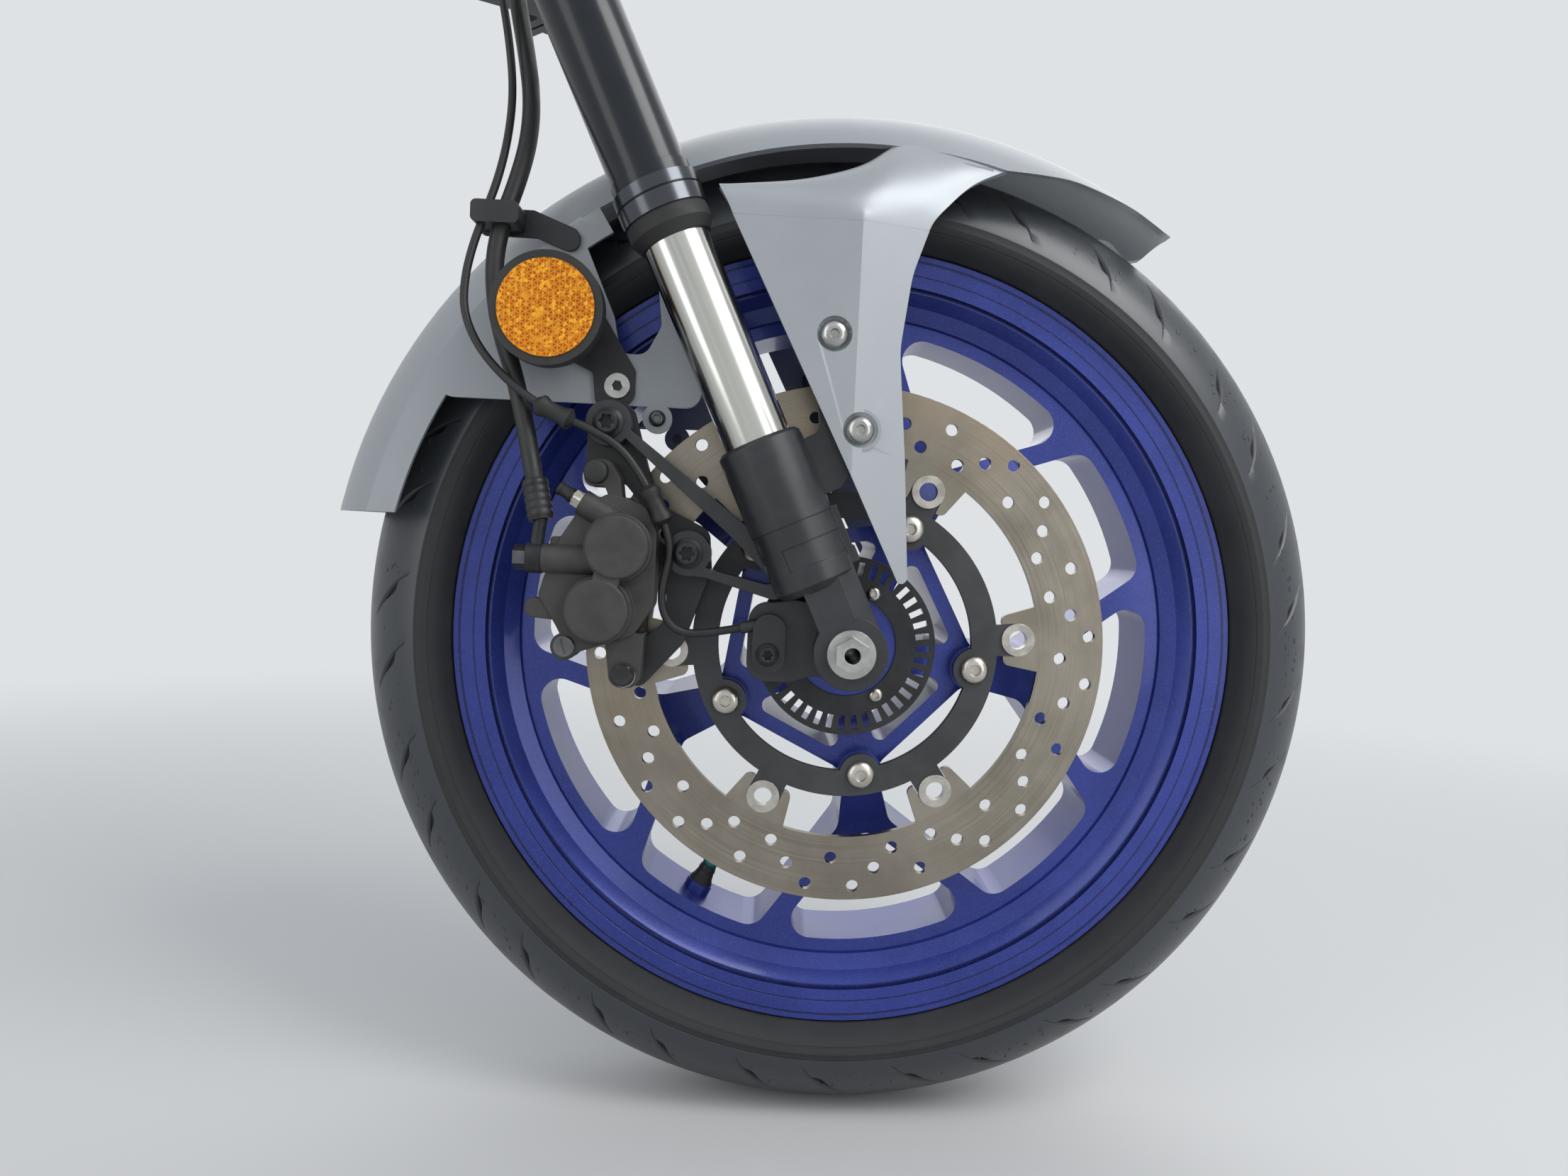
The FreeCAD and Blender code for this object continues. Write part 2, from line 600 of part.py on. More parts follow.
def disc_carrier():
    y0, y1 = disc_plate_y()
    ring = across(0, 0, y0, y1, CARRIER_OUTER_R).cut(across(0, 0, y0, y1, CARRIER_INNER_R))
    arm = side_plate([(CARRIER_OUTER_R - 5, -CARRIER_ARM_HALF, 0),
                      (BOBBIN_R - CARRIER_GAP, -CARRIER_ARM_HALF, 0),
                      (BOBBIN_R - CARRIER_GAP, CARRIER_ARM_HALF, 0),
                      (CARRIER_OUTER_R - 5, CARRIER_ARM_HALF, 0)], y0, y1)
    pieces = [ring] + [spun(arm, angle) for angle in bobbin_angles()]
    cuts = []
    for k in range(SPOKE_COUNT):
        x, z = polar(STEM_FOOT_R, SPOKE_ANGLE + k * 360.0 / SPOKE_COUNT)
        pieces.append(across(x, z, y0, y1, CARRIER_LUG_D / 2))
        cuts.append(across(x, z, y0, y1, CARRIER_BOLT_D / 2))
    for angle in bobbin_angles():
        x, z = polar(BOBBIN_R, angle)
        cuts.append(across(x, z, y0, y1, BOBBIN_HOLE_D / 2))
    return fuse(pieces).cut(Part.makeCompound(cuts)).removeSplitter()


def disc_bobbins():
    y0, y1 = disc_plate_y()
    solids = []
    for angle in bobbin_angles():
        x, z = polar(BOBBIN_R, angle)
        body = fuse([across(x, z, y0, y1, BOBBIN_BODY_D / 2),
                     across(x, z, y0 - BOBBIN_FLANGE, y0, BOBBIN_FLANGE_D / 2),
                     across(x, z, y1, y1 + BOBBIN_FLANGE, BOBBIN_FLANGE_D / 2)])
        eye = across(x, z, y0 - BOBBIN_FLANGE, y1 + BOBBIN_FLANGE, BOBBIN_EYE_D / 2)
        solids.append(body.cut(eye))
    return Part.makeCompound(solids)


def speed_ring():
    y1 = HUB_RIGHT_Y - 2
    y0 = y1 - RING_THICK
    ring = across(0, 0, y0, y1, RING_OUTER_R).cut(across(0, 0, y0, y1, BEARING_D / 2 + 9))
    slot = Part.makeBox(RING_SLOT_OUTER_R - RING_SLOT_INNER_R, RING_THICK, RING_SLOT_WIDTH,
                        V(RING_SLOT_INNER_R, y0, -RING_SLOT_WIDTH / 2))
    slots = [spun(slot, k * 360.0 / RING_SLOTS) for k in range(RING_SLOTS)]
    return ring.cut(Part.makeCompound(slots))


# Axle

def axle():
    flange_y = -CASTING_OUTER_Y
    shaft = across(0, 0, flange_y, CASTING_OUTER_Y + 1, AXLE_D / 2)
    flange = across(0, 0, flange_y - AXLE_FLANGE_THICK, flange_y, AXLE_FLANGE_D / 2)
    head = hexagon(V(0, flange_y - AXLE_FLANGE_THICK, 0), V(0, -1, 0), AXLE_HEX, AXLE_HEX_HEIGHT)
    whole = fuse([shaft, flange, head])
    low = flange_y - AXLE_FLANGE_THICK - AXLE_HEX_HEIGHT
    return whole.cut(across(0, 0, low, CASTING_OUTER_Y + 1, AXLE_BORE_D / 2))


def wheel_spacers():
    rings = []
    for y0, y1 in ((-CASTING_INNER_Y, HUB_RIGHT_Y - 0.3), (HUB_LEFT_Y + 0.3, CASTING_INNER_Y)):
        outer = across(0, 0, y0, y1, SPACER_D / 2)
        rings.append(outer.cut(across(0, 0, y0, y1, AXLE_D / 2)))
    return Part.makeCompound(rings)


# Fork legs

def casting(side):
    """Lower leg of one side, side -1 on the right and 1 on the left."""
    y = side * LEG_Y
    radius = COLLAR_D / 2
    straight = CASTING_TOP - COLLAR_BEVEL - COLLAR_FOOT
    collar = rod(leg(COLLAR_FOOT, -LEG_OFFSET, y), UP, radius, straight)
    rim = Part.makeCone(radius, radius - COLLAR_BEVEL, COLLAR_BEVEL,
                        leg(CASTING_TOP - COLLAR_BEVEL, -LEG_OFFSET, y), UP)
    boss = across(0, 0, side * CASTING_INNER_Y, side * CASTING_OUTER_Y, AXLE_BOSS_D / 2)
    inner, outer = side * CASTING_INNER_Y, side * CASTING_OUTER_Y
    shank = leg_plate([(SHANK_REAR, inner, 0), (SHANK_REAR, outer, 0),
                       (SHANK_FRONT - SHANK_BEVEL, outer, 0),
                       (SHANK_FRONT, outer - side * SHANK_BEVEL, 0), (SHANK_FRONT, inner, 0)],
                      0, SHANK_TOP)
    ear = face([(n, s, 0) for n, s in EAR_PLAN], lambda n, s: leg(s, n, side * EAR_Y[0]))
    ear = ear.extrude(V(0, side * (EAR_Y[1] - EAR_Y[0]), 0))
    pieces = [collar, rim, barrel(side), boss, shank, ear]
    arm_y = side * -ARM_WEB_Y[1]
    pieces.append(across(*PANEL_EAR, side * (PANEL_Y + GUARD_WALL), side * -ARM_WEB_Y[0],
                         PANEL_EAR_D / 2))
    if side < 0:
        pieces += caliper_arm() + [sensor_ear()]
    else:
        pieces.append(side_plate(EAR_BRACKET, arm_y, side * -ARM_WEB_Y[0]))
    body = fuse(pieces)
    body = body.cut(rod(leg(INNER_TUBE_FOOT, -LEG_OFFSET, y), UP, INNER_TUBE_D / 2,
                        CASTING_TOP - INNER_TUBE_FOOT + 1))
    body = body.cut(across(0, 0, side * (CASTING_INNER_Y - 1), side * (CASTING_OUTER_Y + 1),
                           AXLE_D / 2))
    body = body.cut(across(*PANEL_EAR, side * PANEL_Y, side * -ARM_WEB_Y[0], GUARD_BOLT_D / 2))
    if side < 0:
        body = body.cut(across(SENSOR_X, SENSOR_Z, -CASTING_OUTER_Y, -CASTING_INNER_Y + 1,
                               SENSOR_NOSE_D / 2))
    return body.removeSplitter()


def barrel(side):
    """Round body under the collar, flat towards the wheel, with a sunk panel on its face."""
    y = side * LEG_Y
    radius = COLLAR_D / 2 - COLLAR_STEP
    foot = leg(BARREL_FOOT, -LEG_OFFSET, y)
    taper = Part.makeCone(radius - BARREL_BEVEL, radius, BARREL_BEVEL, foot, UP)
    body = rod(foot + UP * BARREL_BEVEL, UP, radius, COLLAR_FOOT - BARREL_FOOT - BARREL_BEVEL)
    inner, outer = side * CASTING_INNER_Y, side * (LEG_Y + COLLAR_D)
    flat = leg_plate([(-COLLAR_D, inner, 0), (COLLAR_D, inner, 0), (COLLAR_D, outer, 0),
                      (-COLLAR_D, outer, 0)], BARREL_FOOT, COLLAR_FOOT)
    s0, s1 = BARREL_PANEL
    sunk = pipe(leg(s0, -LEG_OFFSET, y), UP, COLLAR_D, radius - BARREL_PANEL_DEPTH, s1 - s0)
    ahead = leg_plate([(BARREL_PANEL_EDGE, y, 0), (COLLAR_D, y, 0), (COLLAR_D, outer, 0),
                       (BARREL_PANEL_EDGE, outer, 0)], s0, s1)
    return fuse([taper, body]).common(flat).cut(sunk.common(ahead))


def caliper_arm():
    web = side_plate(ARM_WEB, *ARM_WEB_Y)
    pocket = side_plate(ARM_SLOT, ARM_WEB_Y[0] - 1, ARM_WEB_Y[0] + ARM_POCKET)
    bosses = [across(x, z, ARM_RIB_Y[0], ARM_WEB_Y[1], CALIPER_BOSS_D / 2)
              for x, z in CALIPER_BOLTS]
    return [web.cut(pocket)] + [side_plate(rib, *ARM_RIB_Y) for rib in ARM_RIBS] + bosses


def sensor_ear():
    return side_plate(SENSOR_EAR, -SENSOR_EAR_Y, -CASTING_INNER_Y)


def inner_tube(side):
    return pipe(leg(INNER_TUBE_FOOT, -LEG_OFFSET, side * LEG_Y), UP, INNER_TUBE_D / 2,
                INNER_TUBE_D / 2 - INNER_TUBE_WALL, INNER_TUBE_LENGTH)


def outer_tube(side):
    y = side * LEG_Y
    foot = leg(RING_FOOT, -LEG_OFFSET, y)
    pieces = [rod(foot, UP, OUTER_TUBE_D / 2, UPPER_YOKE_TOP - RING_FOOT),
              rod(foot, UP, HANDLEBAR_SEAT_D / 2, TUBE_TOP - RING_FOOT),
              rod(foot, UP, BAND_D / 2, RING_HEIGHT + BAND_HEIGHT),
              rod(foot, UP, RING_D / 2, RING_HEIGHT)]
    bore = INNER_TUBE_D / 2 + TUBE_GAP
    groove = pipe(foot + UP * RING_GROOVE_RISE, UP, RING_D, RING_D / 2 - RING_GROOVE_DEPTH,
                  RING_GROOVE_WIDTH)
    body = fuse(pieces).cut(rod(leg(RING_FOOT - 1, -LEG_OFFSET, y), UP, bore,
                                TUBE_TOP - RING_FOOT + 2))
    return body.cut(groove)


def dust_seal(side):
    y = side * LEG_Y
    foot = leg(RING_FOOT - SEAL_HEIGHT, -LEG_OFFSET, y)
    lower = Part.makeCone(SEAL_LIP_D / 2, SEAL_D / 2, SEAL_LIP_HEIGHT, foot, UP)
    upper = rod(foot + UP * SEAL_LIP_HEIGHT, UP, SEAL_D / 2, SEAL_HEIGHT - SEAL_LIP_HEIGHT)
    bore = rod(foot, UP, INNER_TUBE_D / 2, SEAL_HEIGHT)
    return fuse([lower, upper]).cut(bore)


def fork_cap(side):
    y = side * LEG_Y
    plug = rod(leg(TUBE_TOP - CAP_DEPTH, -LEG_OFFSET, y), UP, INNER_TUBE_D / 2, CAP_DEPTH)
    brim = rod(leg(TUBE_TOP, -LEG_OFFSET, y), UP, CAP_BRIM_D / 2, CAP_BRIM)
    nut = hexagon(leg(TUBE_TOP + CAP_BRIM, -LEG_OFFSET, y), UP, CAP_HEX, CAP_HEX_HEIGHT)
    return fuse([plug, brim, nut])


def yoke(s0, height):
    """Clamp that joins both legs to the stem."""
    arm = leg_plate([(-STEER_OFFSET - YOKE_HUB_D / 2, -24, 10), (-LEG_OFFSET - 18, -LEG_Y, 0),
                     (-LEG_OFFSET + 20, -LEG_Y, 0), (-LEG_OFFSET - 2, -36, 20),
                     (-LEG_OFFSET - 2, 36, 20), (-LEG_OFFSET + 20, LEG_Y, 0),
                     (-LEG_OFFSET - 18, LEG_Y, 0), (-STEER_OFFSET - YOKE_HUB_D / 2, 24, 10)],
                    s0, s0 + height)
    pieces = [arm, rod(leg(s0, -STEER_OFFSET, 0), UP, YOKE_HUB_D / 2, height)]
    cuts = []
    rear = -LEG_OFFSET - YOKE_CLAMP_D / 2 - YOKE_EAR_LENGTH
    for side in (-1, 1):
        y = side * LEG_Y
        pieces.append(rod(leg(s0, -LEG_OFFSET, y), UP, YOKE_CLAMP_D / 2, height))
        pieces.append(leg_plate([(rear, y - YOKE_EAR_HALF, 3), (rear, y + YOKE_EAR_HALF, 3),
                                 (-LEG_OFFSET, y + YOKE_EAR_HALF, 0),
                                 (-LEG_OFFSET, y - YOKE_EAR_HALF, 0)], s0, s0 + height))
        cuts.append(rod(leg(s0, -LEG_OFFSET, y), UP, OUTER_TUBE_D / 2, height))
        cuts.append(leg_plate([(rear - 1, y - YOKE_SLIT / 2, 0), (rear - 1, y + YOKE_SLIT / 2, 0),
                               (-LEG_OFFSET, y + YOKE_SLIT / 2, 0),
                               (-LEG_OFFSET, y - YOKE_SLIT / 2, 0)], s0, s0 + height))
        bolt = leg(s0 + height / 2, rear + YOKE_EAR_LENGTH / 2, y - YOKE_EAR_HALF - 1)
        cuts.append(rod(bolt, Y_AXIS, PINCH_BOLT_D / 2, 2 * YOKE_EAR_HALF + 2))
    return fuse(pieces).cut(Part.makeCompound(cuts))


def lower_yoke():
    hole = rod(leg(LOWER_YOKE_FOOT, -STEER_OFFSET, 0), UP, STEM_D / 2, YOKE_HEIGHT)
    return yoke(LOWER_YOKE_FOOT, YOKE_HEIGHT).cut(hole)


def upper_yoke():
    hole = rod(leg(UPPER_YOKE_FOOT, -STEER_OFFSET, 0), UP, STEM_D / 2, UPPER_YOKE_HEIGHT)
    return yoke(UPPER_YOKE_FOOT, UPPER_YOKE_HEIGHT).cut(hole)


def steering_stem():
    length = UPPER_YOKE_TOP - LOWER_YOKE_FOOT
    start = leg(LOWER_YOKE_FOOT, -STEER_OFFSET, 0)
    return pipe(start, UP, STEM_D / 2, STEM_BORE_D / 2, length)


def stem_nut():
    top = leg(UPPER_YOKE_TOP, -STEER_OFFSET, 0)
    return hexagon(top, UP, STEM_NUT_D, STEM_NUT_HEIGHT)


def bearing_adjuster():
    start = leg(UPPER_YOKE_FOOT - ADJUSTER_HEIGHT, -STEER_OFFSET, 0)
    return pipe(start, UP, ADJUSTER_D / 2, STEM_D / 2, ADJUSTER_HEIGHT - STEM_TOP_GAP)


def head_tube():
    s0 = LOWER_YOKE_FOOT + YOKE_HEIGHT + HEAD_GAP
    s1 = UPPER_YOKE_FOOT - ADJUSTER_HEIGHT - STEM_TOP_GAP
    start = leg(s0, -STEER_OFFSET, 0)
    body = rod(start, UP, HEAD_TUBE_D / 2, s1 - s0)
    cups = [rod(start, UP, HEAD_CUP_D / 2, HEAD_CUP_LENGTH),
            rod(leg(s1 - HEAD_CUP_LENGTH, -STEER_OFFSET, 0), UP, HEAD_CUP_D / 2, HEAD_CUP_LENGTH)]
    bore = rod(start, UP, HEAD_TUBE_D / 2 - HEAD_TUBE_WALL, s1 - s0)
    return fuse([body] + cups).cut(bore)


def head_bearings():
    s0 = LOWER_YOKE_FOOT + YOKE_HEIGHT + HEAD_GAP
    s1 = UPPER_YOKE_FOOT - ADJUSTER_HEIGHT - STEM_TOP_GAP
    outer = HEAD_TUBE_D / 2 - HEAD_TUBE_WALL
    rings = [pipe(leg(s, -STEER_OFFSET, 0), UP, outer, STEM_D / 2 + SHAFT_GAP, HEAD_CUP_LENGTH)
             for s in (s0, s1 - HEAD_CUP_LENGTH)]
    return Part.makeCompound(rings)


# Caliper

def piston_barrels():
    """Shoulder and flat bevelled cap over each piston."""
    solids = []
    for x, z in PISTONS:
        edge_y = PISTON_CAP_Y + PISTON_CAP_BEVEL
        solids.append(across(x, z, CALIPER_SHOULDER_Y, CALIPER_FACE_Y, SHOULDER_R))
        solids.append(across(x, z, edge_y, CALIPER_FACE_Y, PISTON_CAP_R))
        solids.append(Part.makeCone(PISTON_CAP_R, PISTON_CAP_R - PISTON_CAP_BEVEL,
                                    PISTON_CAP_BEVEL, V(x, edge_y, z), Y_AXIS * -1))
    return solids


def cap_neck():
    """Bridge that joins the two piston caps."""
    (x0, z0), (x1, z1) = PISTONS
    span = math.hypot(x1 - x0, z1 - z0)
    over_x = (z1 - z0) / span * CAP_NECK_WIDTH / 2
    over_z = (x0 - x1) / span * CAP_NECK_WIDTH / 2
    corners = [(x0 + over_x, z0 + over_z, 0), (x1 + over_x, z1 + over_z, 0),
               (x1 - over_x, z1 - over_z, 0), (x0 - over_x, z0 - over_z, 0)]
    return side_plate(corners, PISTON_CAP_Y + CAP_NECK_DROP, CALIPER_FACE_Y)


def caliper_body():
    pad_front = DISC_OUTER_Y + DISC_THICK + PAD_GAP + PAD_THICK
    whole = side_plate(CALIPER_BLOCK, CALIPER_OUTER_Y, CALIPER_INNER_Y)
    clear = across(0, 0, CALIPER_FACE_Y, pad_front, DISC_R + DISC_CLEARANCE)
    hub_side = across(0, 0, CALIPER_FACE_Y, CALIPER_INNER_Y, CALIPER_INNER_LEG_R)
    body = whole.cut(clear).cut(hub_side)
    inlet = rod(V(BANJO_X[1], BANJO_Y, BANJO_Z), V(1, 0, 0), BANJO_EYE_D / 2 - 0.5, INLET_LENGTH)
    fall_x, fall_z = polar(1, BLEEDER_SLOPE)
    bleeder = rod(V(BLEEDER_TIP[0], BANJO_Y, BLEEDER_TIP[1]), V(fall_x, 0, fall_z),
                  BLEEDER_BOSS_D / 2, BLEEDER_BOSS_LENGTH)
    plug = across(*PLUG_BOSS, CALIPER_OUTER_Y, CALIPER_FACE_Y, PLUG_BOSS_D / 2)
    arms = [side_plate(outline, *CALIPER_LOBE_Y)
            for outline in (UPPER_ARM, LOWER_ARM, SIDE_LUG, HOSE_STOP)]
    body = fuse([body, inlet, bleeder, plug, cap_neck()] + arms + piston_barrels())
    holes = [across(x, z, CALIPER_OUTER_Y, CALIPER_LOBE_Y[1], PIN_D / 2)
             for x, z in (PIN_UPPER, PIN_LOWER)]
    holes.append(rod(V(BANJO_X[0], BANJO_Y, BANJO_Z), V(1, 0, 0), BANJO_BOLT_D / 2,
                     BANJO_BOLT_LENGTH))
    return body.cut(Part.makeCompound(holes))


def caliper_pistons():
    pad_back = DISC_OUTER_Y - PAD_GAP - PAD_THICK
    return Part.makeCompound([across(x, z, CALIPER_FACE_Y, pad_back, PISTON_D / 2)
                              for x, z in PISTONS])


def pad_sector(y0, y1, inner, outer, spread):
    """Ring sector about the axle, centred on the pads."""
    ring = across(0, 0, y0, y1, outer).cut(across(0, 0, y0, y1, inner))
    far = 2 * outer
    edges = [polar(far, PAD_ANGLE + sign * spread / 2) for sign in (-1, 1)]
    wedge = side_plate([(0, 0, 0), (*edges[0], 0), (*edges[1], 0)], y0, y1)
    return ring.common(wedge)


def brake_pads():
    y0 = DISC_OUTER_Y - PAD_GAP
    y1 = DISC_OUTER_Y + DISC_THICK + PAD_GAP
    return Part.makeCompound([
        pad_sector(y0 - PAD_THICK, y0, PAD_INNER_R, DISC_R + 1, PAD_SPREAD),
        pad_sector(y1, y1 + PAD_THICK, PAD_INNER_R, DISC_R + 1, PAD_SPREAD)])


def caliper_bracket():
    plate = side_plate(BRACKET_PLATE, *BRACKET_Y)
    pocket = pad_sector(*BRACKET_Y, PAD_INNER_R - PAD_CLEARANCE, 2 * DISC_R,
                        PAD_SPREAD + 1)
    holes = [across(x, z, *BRACKET_Y, PIN_D / 2) for x, z in (PIN_UPPER, PIN_LOWER)]
    return plate.cut(pocket).cut(Part.makeCompound(holes))


def slide_pins():
    solids = []
    for x, z in (PIN_UPPER, PIN_LOWER):
        shank = across(x, z, CALIPER_LOBE_Y[0], BRACKET_Y[1], PIN_D / 2)
        head = across(x, z, CALIPER_LOBE_Y[0] - PIN_HEAD, CALIPER_LOBE_Y[0], PIN_HEAD_D / 2)
        solids.append(fuse([shank, head]))
    return Part.makeCompound(solids)


# Mudguard

def guard_crown():
    """Arched shell over the tyre, with a skirt behind the legs and a rounded tip in front."""
    inner_half = GUARD_HALF_WIDTH - GUARD_WALL
    inner_edge = GUARD_EDGE_R - GUARD_WALL / 2
    outer = Part.Arc(V(GUARD_EDGE_R, -GUARD_HALF_WIDTH, 0), V(GUARD_R, 0, 0),
                     V(GUARD_EDGE_R, GUARD_HALF_WIDTH, 0))
    inner = Part.Arc(V(inner_edge, inner_half, 0), V(GUARD_R - GUARD_WALL, 0, 0),
                     V(inner_edge, -inner_half, 0))
    edges = [outer, Part.LineSegment(outer.EndPoint, inner.StartPoint), inner,
             Part.LineSegment(inner.EndPoint, outer.StartPoint)]
    section = spun(Part.Face(Part.Wire([edge.toShape() for edge in edges])), GUARD_FRONT_ANGLE)
    shell = section.revolve(V(0, 0, 0), Y_AXIS, GUARD_FRONT_ANGLE - GUARD_REAR_ANGLE)
    skirts = []
    for y in (-GUARD_HALF_WIDTH, inner_half):
        low = inner_edge - SKIRT_DEPTH
        corners = [V(low, y, 0), V(GUARD_EDGE_R, y, 0), V(GUARD_EDGE_R, y + GUARD_WALL, 0),
                   V(low, y + GUARD_WALL, 0)]
        strip = spun(Part.Face(Part.makePolygon(corners + corners[:1])), SKIRT_FRONT_ANGLE)
        skirts.append(strip.revolve(V(0, 0, 0), Y_AXIS, SKIRT_FRONT_ANGLE - GUARD_REAR_ANGLE))
    return fuse([shell] + skirts)


def guard_trims():
    """What the mudguard's edges are cut along, seen from the side: the front arch and the tail."""
    tip_x, tip_z = polar(GUARD_R - GUARD_WALL, GUARD_FRONT_ANGLE)
    foot = GUARD_EDGE_R / 2
    front = [(40, foot, 0), (40, 236, 0), (50, GUARD_EDGE_R - 21, 14), (75, GUARD_EDGE_R - 11, 30),
             (120, GUARD_EDGE_R - 10, 60), (tip_x - 22, tip_z + 10, 20), (tip_x - 8, tip_z - 2, 8),
             (tip_x + 30, tip_z - 3, 0), (tip_x + 30, foot, 0)]
    tail = [(-GUARD_R - 20, 0, 0), (-GUARD_R - 20, TAIL_Z, 0), (-GUARD_R / 2, TAIL_Z, 0),
            (-GUARD_R / 2, 0, 0)]
    reach = GUARD_HALF_WIDTH + 1
    return [side_plate(front, -reach, reach), side_plate(tail, -reach, reach)]


def guard_panel(side):
    """Side panel behind the leg, with the opening that the leg passes."""
    y0, y1 = side * PANEL_Y, side * (PANEL_Y + GUARD_WALL)
    front_top = polar(GUARD_EDGE_R - 1, PANEL_TOP_ANGLES[0])
    rear_top = polar(GUARD_EDGE_R - 1, PANEL_TOP_ANGLES[1])
    plate = side_plate([(-88.5, PANEL_FOOT_Z, 9), (-88.5, 150, 0), (-104, 200, 0), (*front_top, 0),
                        (*rear_top, 0), (rear_top[0] - 20, PANEL_FOOT_Z + 12, 0),
                        (rear_top[0] - 12, PANEL_FOOT_Z, 12)], y0, y1)
    opening = side_plate([(-139.5, 180, 6), (-135.5, 159.5, 7), (-121, 159.5, 8), (-112.5, 176, 8),
                          (-117, 212, 8), (-134, 250, 8), (-153, 244, 8), (-158, 222, 8)],
                         side * (PANEL_Y - 1), side * (PANEL_Y + GUARD_WALL + 1))
    ear = across(*PANEL_EAR, y0, y1, PANEL_EAR_D / 2)
    return fuse([plate.cut(opening), ear]).cut(across(*PANEL_EAR, y0, y1, GUARD_BOLT_D / 2))


def prong_front_y(x):
    """Distance of the prong's front plane from the machine's middle, at this x."""
    return PRONG_Y + PRONG_WALL - (x - PRONG_CREASE_X) * math.tan(math.radians(PRONG_FOLD))


def guard_prong(side):
    """Long pointed plate ahead of the leg, creased down its middle and bolted to the stay."""
    outline = [(*PRONG_CORNER, 5), (PRONG_CREASE_X, 243, 0), (30, 255, 0), (46, 251, 0), (34, 233, 14),
               (25, 206, 60), (20, 165, 60), (26, 106, 60), (PRONG_TIP[0] + 4, PRONG_TIP[1] + 5, 3),
               (*PRONG_TIP, 3)]
    far_x, far_z = 60.0, PRONG_TIP[1] - 10
    inner_crease = PRONG_CREASE_X - PRONG_WALL * math.tan(math.radians(PRONG_FOLD / 2))
    plan = [(PRONG_CORNER[0] - 10, PRONG_Y + PRONG_WALL), (PRONG_CREASE_X, PRONG_Y + PRONG_WALL),
            (far_x, prong_front_y(far_x)),
            (far_x, prong_front_y(far_x) - PRONG_WALL / math.cos(math.radians(PRONG_FOLD))),
            (inner_crease, PRONG_Y), (PRONG_CORNER[0] - 10, PRONG_Y)]
    spots = [V(x, side * y, far_z) for x, y in plan]
    folded = Part.Face(Part.makePolygon(spots + spots[:1])).extrude(V(0, 0, GUARD_R - far_z))
    plate = folded.common(side_plate(outline, side * PANEL_Y, side * (PRONG_Y + 2 * PRONG_WALL)))
    floor_y = PRONG_Y - PRONG_WALL / 2
    seats = [across(x, z, side * floor_y, side * (PRONG_Y + 1), GUARD_RECESS_D / 2 + 2)
             for x, z in GUARD_BOLTS]
    recesses = [across(x, z, side * PRONG_Y, side * (PRONG_Y + 2 * PRONG_WALL), GUARD_RECESS_D / 2)
                for x, z in GUARD_BOLTS]
    holes = [across(x, z, side * floor_y, side * (PRONG_Y + 1), GUARD_BOLT_D / 2)
             for x, z in GUARD_BOLTS]
    return fuse([plate] + seats).cut(Part.makeCompound(recesses)).cut(Part.makeCompound(holes))


def guard_shoulder(side):
    """Curved bridge from the crown's edge down to the prong, open behind as a scoop."""
    edge = GUARD_HALF_WIDTH - GUARD_WALL / 2 - 0.5
    level = GUARD_EDGE_R - 0.5
    sections = ((-82, (96.5, 247.2), (98.6, 245), (100, 240)),
                (-45, (89, 253.5), (96.5, 247.5), (100, 236)),
                (-5, (78, 266), (91.5, 256), (100, 236)),
                (13, (edge, math.sqrt(level ** 2 - 13 ** 2)), (84, 266), (prong_front_y(13), 240)),
                (45, (edge, math.sqrt(level ** 2 - 45 ** 2)), (77, 266), (prong_front_y(45), 252)),
                (70, (edge, math.sqrt(level ** 2 - 70 ** 2)), (72, 267), (74, 259)))
    centre = V(0, 70, 225)
    wires = []
    for x, *spots in sections:
        outer = [V(0, y, z) for y, z in spots]
        inner = [spot + (centre - spot).normalize() * GUARD_WALL for spot in outer]
        place = [V(x, side * spot.y, spot.z) for spot in outer + inner]
        wires.append(Part.Wire([Part.Arc(*place[:3]).toShape(),
                                Part.LineSegment(place[2], place[5]).toShape(),
                                Part.Arc(*place[:2:-1]).toShape(),
                                Part.LineSegment(place[3], place[0]).toShape()]))
    return fuse([Part.makeLoft(wires[i:i + 2], True, True) for i in range(len(wires) - 1)])


def mudguard():
    shell = guard_crown().cut(Part.makeCompound(guard_trims()))
    pieces = [shell]
    for side in (-1, 1):
        pieces += [guard_panel(side), guard_prong(side), guard_shoulder(side)]
    return fuse(pieces)


def guard_stay(side):
    """Bracket from the casting's collar to the back of the prong."""
    y0, y1 = side * (LEG_Y - 7), side * (LEG_Y - 3)
    corners = [(14, 84, 0), (14, 116, 0), (31, 117, 6), (48, 172, 8), (66, 172, 8), (61, 98, 8),
               (42, 92, 6), (30, 84, 4)]
    plate = face([(n, s, r) for n, s, r in corners], lambda n, s: leg(s, n, min(y0, y1)))
    plate = plate.extrude(V(0, abs(y1 - y0), 0))
    floor_y = PRONG_Y - PRONG_WALL / 2
    bosses = [across(x, z, y0, side * floor_y, GUARD_BOSS_D / 2) for x, z in GUARD_BOLTS]
    body = fuse([plate] + bosses)
    collar = rod(leg(COLLAR_FOOT, -LEG_OFFSET, side * LEG_Y), UP, COLLAR_D / 2,
                 CASTING_TOP - COLLAR_FOOT)
    holes = [across(x, z, y0 - 1, side * PRONG_Y, GUARD_THREAD_D / 2) for x, z in GUARD_BOLTS]
    return body.cut(collar).cut(guard_prong(side)).cut(Part.makeCompound(holes))


# Reflectors

